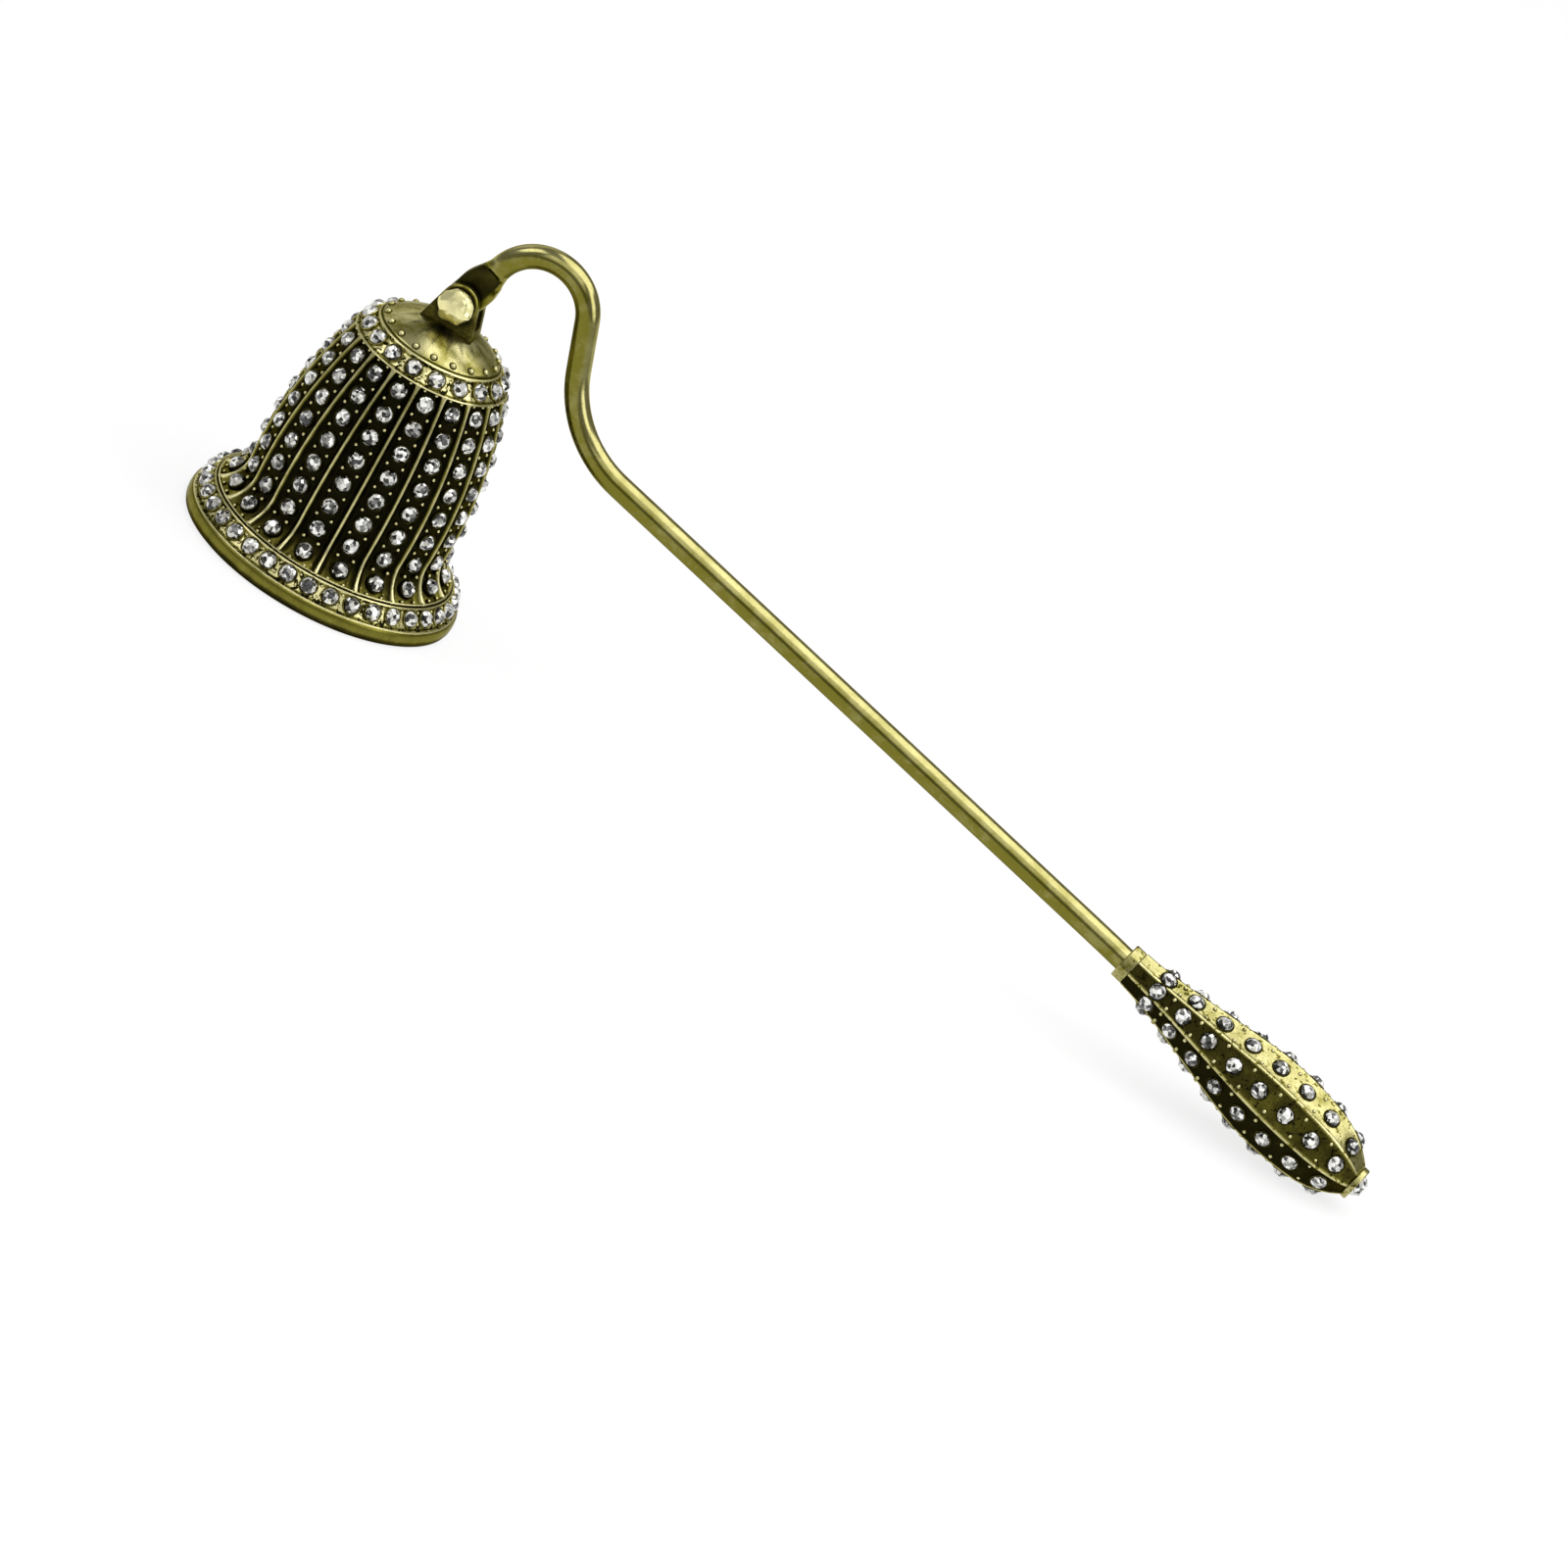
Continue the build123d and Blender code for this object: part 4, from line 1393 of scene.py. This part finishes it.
class SNUFFER_OT_handle_stones(bpy.types.Operator):
    """Set the handle's stones in their seats, with grains of metal beside them"""

    bl_idname = "snuffer.handle_stones"
    bl_label = "Handle's stones"

    def execute(self, context):
        sizes = context.scene.snuffer_stones
        chance = random.Random(11)
        place = handle_place(context)
        home = place.inverted()
        setting = bmesh.new()
        rows = []
        width, height = sizes.handle_radius * STONE_FIT, sizes.handle_height
        for node in nodes_like("handle_stones_row_"):
            bm = bmesh.new()
            rows.append(round_axis(stone_seats(node), home))
            for seat in rows[-1]:
                turn = chance.uniform(0, math.tau)
                cut_on(bm, seat, width, height, sizes.table_share, turn)
                seat_on(setting, seat, sizes.handle_radius, sizes.seat_width, 0.12 * MM)
            add_piece("Cut_" + node, bm, ["Cut stone"], "rod", [node], crease=3)
        self.grains(setting, rows, place, home, sizes.grain_radius * 1.2)
        add_piece("Handle_setting", setting, ["Handle brass"], "rod")
        bm = bmesh.new()
        node = "handle_end_stone"
        for seat in stone_seats(node):
            cut_on(bm, seat, sizes.end_radius * 0.99, sizes.end_height, sizes.table_share, 0.2)
        add_piece("Cut_end_stone", bm, ["Cut stone"], "rod", [node], crease=3)
        return {"FINISHED"}

    def grains(self, bm, rows, place, home, radius):
        """Two grains in each gap between a face's stones, just inside its ridges."""
        along = place.col[2].to_3d()
        for column in zip(*rows):
            for first, second in zip(column, column[1:]):
                middle = between(first, second)
                outward = middle.col[2].to_3d()
                side = along.cross(outward).normalized()
                corner = (home @ middle.translation).xy.length * math.tan(HALF_FACE)
                reach = min(corner - 0.75 * MM, 1.9 * MM)
                for sign in (-1, 1):
                    seat = facing(middle.translation + side * sign * reach, outward)
                    grain_on(bm, seat, 0, 0, radius, -0.1 * MM)


# Each lamp's direction from the object, its distance, its size along X and Y, and its power.
LAMPS = {
    "Top": ((0.32, 0.1, 1.0), 1.15, (1.3, 1.3), 12.5),
    "Key": ((1.0, -0.3, 0.5), 1.3, (0.7, 0.7), 3.4),
    "Back": ((-0.6, 0.7, 0.5), 1.4, (1.2, 0.8), 1.6),
    "Fill": ((0.0, -0.75, 0.7), 1.3, (1.2, 0.8), 3.4),
    "Rim": ((-0.7, -0.25, 0.65), 1.3, (0.6, 0.6), 2.6),
}
WORLD_LIGHT = 0.3
# The floor's middle along X, under the snuffer, and its gap below the rim.
FLOOR_MIDDLE, FLOOR_GAP = 100 * MM, 0.02 * MM


class SNUFFER_OT_stage(bpy.types.Operator):
    """Lay the pale floor, hang the soft lamps and place the camera"""

    bl_idname = "snuffer.stage"
    bl_label = "Stage"

    def execute(self, context):
        settings = context.scene.snuffer_stage
        aim = Vector((settings.aim_x, 0, settings.aim_z))
        self.camera(context, settings, aim)

        low, _ = cad_box
        bm = bmesh.new()
        bmesh.ops.create_grid(bm, x_segments=8, y_segments=8, size=settings.floor_size / 2)
        under = Vector((FLOOR_MIDDLE, 0, min(0.0, low.z) - FLOOR_GAP))
        bmesh.ops.translate(bm, verts=bm.verts, vec=under)
        floor = new_object("Floor", bm)
        floor.data.materials.append(finish_named("Pale floor"))

        for name, (direction, distance, size, power) in LAMPS.items():
            outward = Vector(direction).normalized()
            self.lamp(context, name, facing(aim + outward * distance, outward), size, power)
        self.world(context)
        context.scene.view_settings.view_transform = "Standard"
        return {"FINISHED"}

    def camera(self, context, settings, aim):
        """The camera, turned round the object, raised and rolled, as in the photograph."""
        turn, rise, roll = settings.azimuth, settings.elevation, settings.roll
        flat = math.cos(rise)
        back = Vector((math.sin(turn) * flat, -math.cos(turn) * flat, math.sin(rise)))
        level = Vector((0, 0, 1)).cross(back).normalized()
        up = back.cross(level)
        right = math.cos(roll) * level + math.sin(roll) * up
        top = math.cos(roll) * up - math.sin(roll) * level
        camera = bpy.data.objects.new("Camera", bpy.data.cameras.new("Camera"))
        context.scene.collection.objects.link(camera)
        camera.data.lens = settings.lens
        camera.data.clip_end = 50
        turned = Matrix((right, top, back)).transposed().to_4x4()
        camera.matrix_world = Matrix.Translation(aim + back * settings.distance) @ turned
        context.scene.camera = camera

    def lamp(self, context, name, place, size, power):
        """A soft lamp at a place, with its size along X and Y."""
        data = bpy.data.lights.new(name, "AREA")
        data.shape = "RECTANGLE"
        data.size, data.size_y = size
        data.energy = power
        lamp = bpy.data.objects.new(name, data)
        context.scene.collection.objects.link(lamp)
        lamp.matrix_world = place

    def world(self, context):
        """An even, slightly warm light from all round."""
        world = bpy.data.worlds.new("Studio")
        context.scene.world = world
        world.use_nodes = True
        background = world.node_tree.nodes["Background"]
        background.inputs["Color"].default_value = (1.0, 1.0, 0.98, 1)
        background.inputs["Strength"].default_value = WORLD_LIGHT


class SNUFFER_PT_panel(bpy.types.Panel):
    """The snuffer's pieces and their sizes"""

    bl_idname = "SNUFFER_PT_panel"
    bl_label = "Candle snuffer"
    bl_space_type = "VIEW_3D"
    bl_region_type = "UI"
    bl_category = "Snuffer"

    def draw(self, context):
        for operator in OPERATORS:
            self.layout.operator(operator.bl_idname)
        for attribute, group in GROUPS.items():
            box = self.layout.box()
            box.label(text=attribute.replace("snuffer_", "").capitalize())
            for name in group.__annotations__:
                box.prop(getattr(context.scene, attribute), name)


OPERATORS = (
    SNUFFER_OT_stage,
    SNUFFER_OT_bell,
    SNUFFER_OT_bell_stones,
    SNUFFER_OT_hinge,
    SNUFFER_OT_rod,
    SNUFFER_OT_handle,
    SNUFFER_OT_handle_stones,
)


def register():
    for made in (*GROUPS.values(), *OPERATORS, SNUFFER_PT_panel):
        bpy.utils.register_class(made)
    for attribute, group in GROUPS.items():
        setattr(bpy.types.Scene, attribute, bpy.props.PointerProperty(type=group))


def unregister():
    for attribute in GROUPS:
        delattr(bpy.types.Scene, attribute)
    for made in reversed((*GROUPS.values(), *OPERATORS, SNUFFER_PT_panel)):
        bpy.utils.unregister_class(made)


def main():
    """Build the whole snuffer."""
    register()
    for operator in OPERATORS:
        group, name = operator.bl_idname.split(".")
        getattr(getattr(bpy.ops, group), name)()


if __name__ == "__main__":
    main()
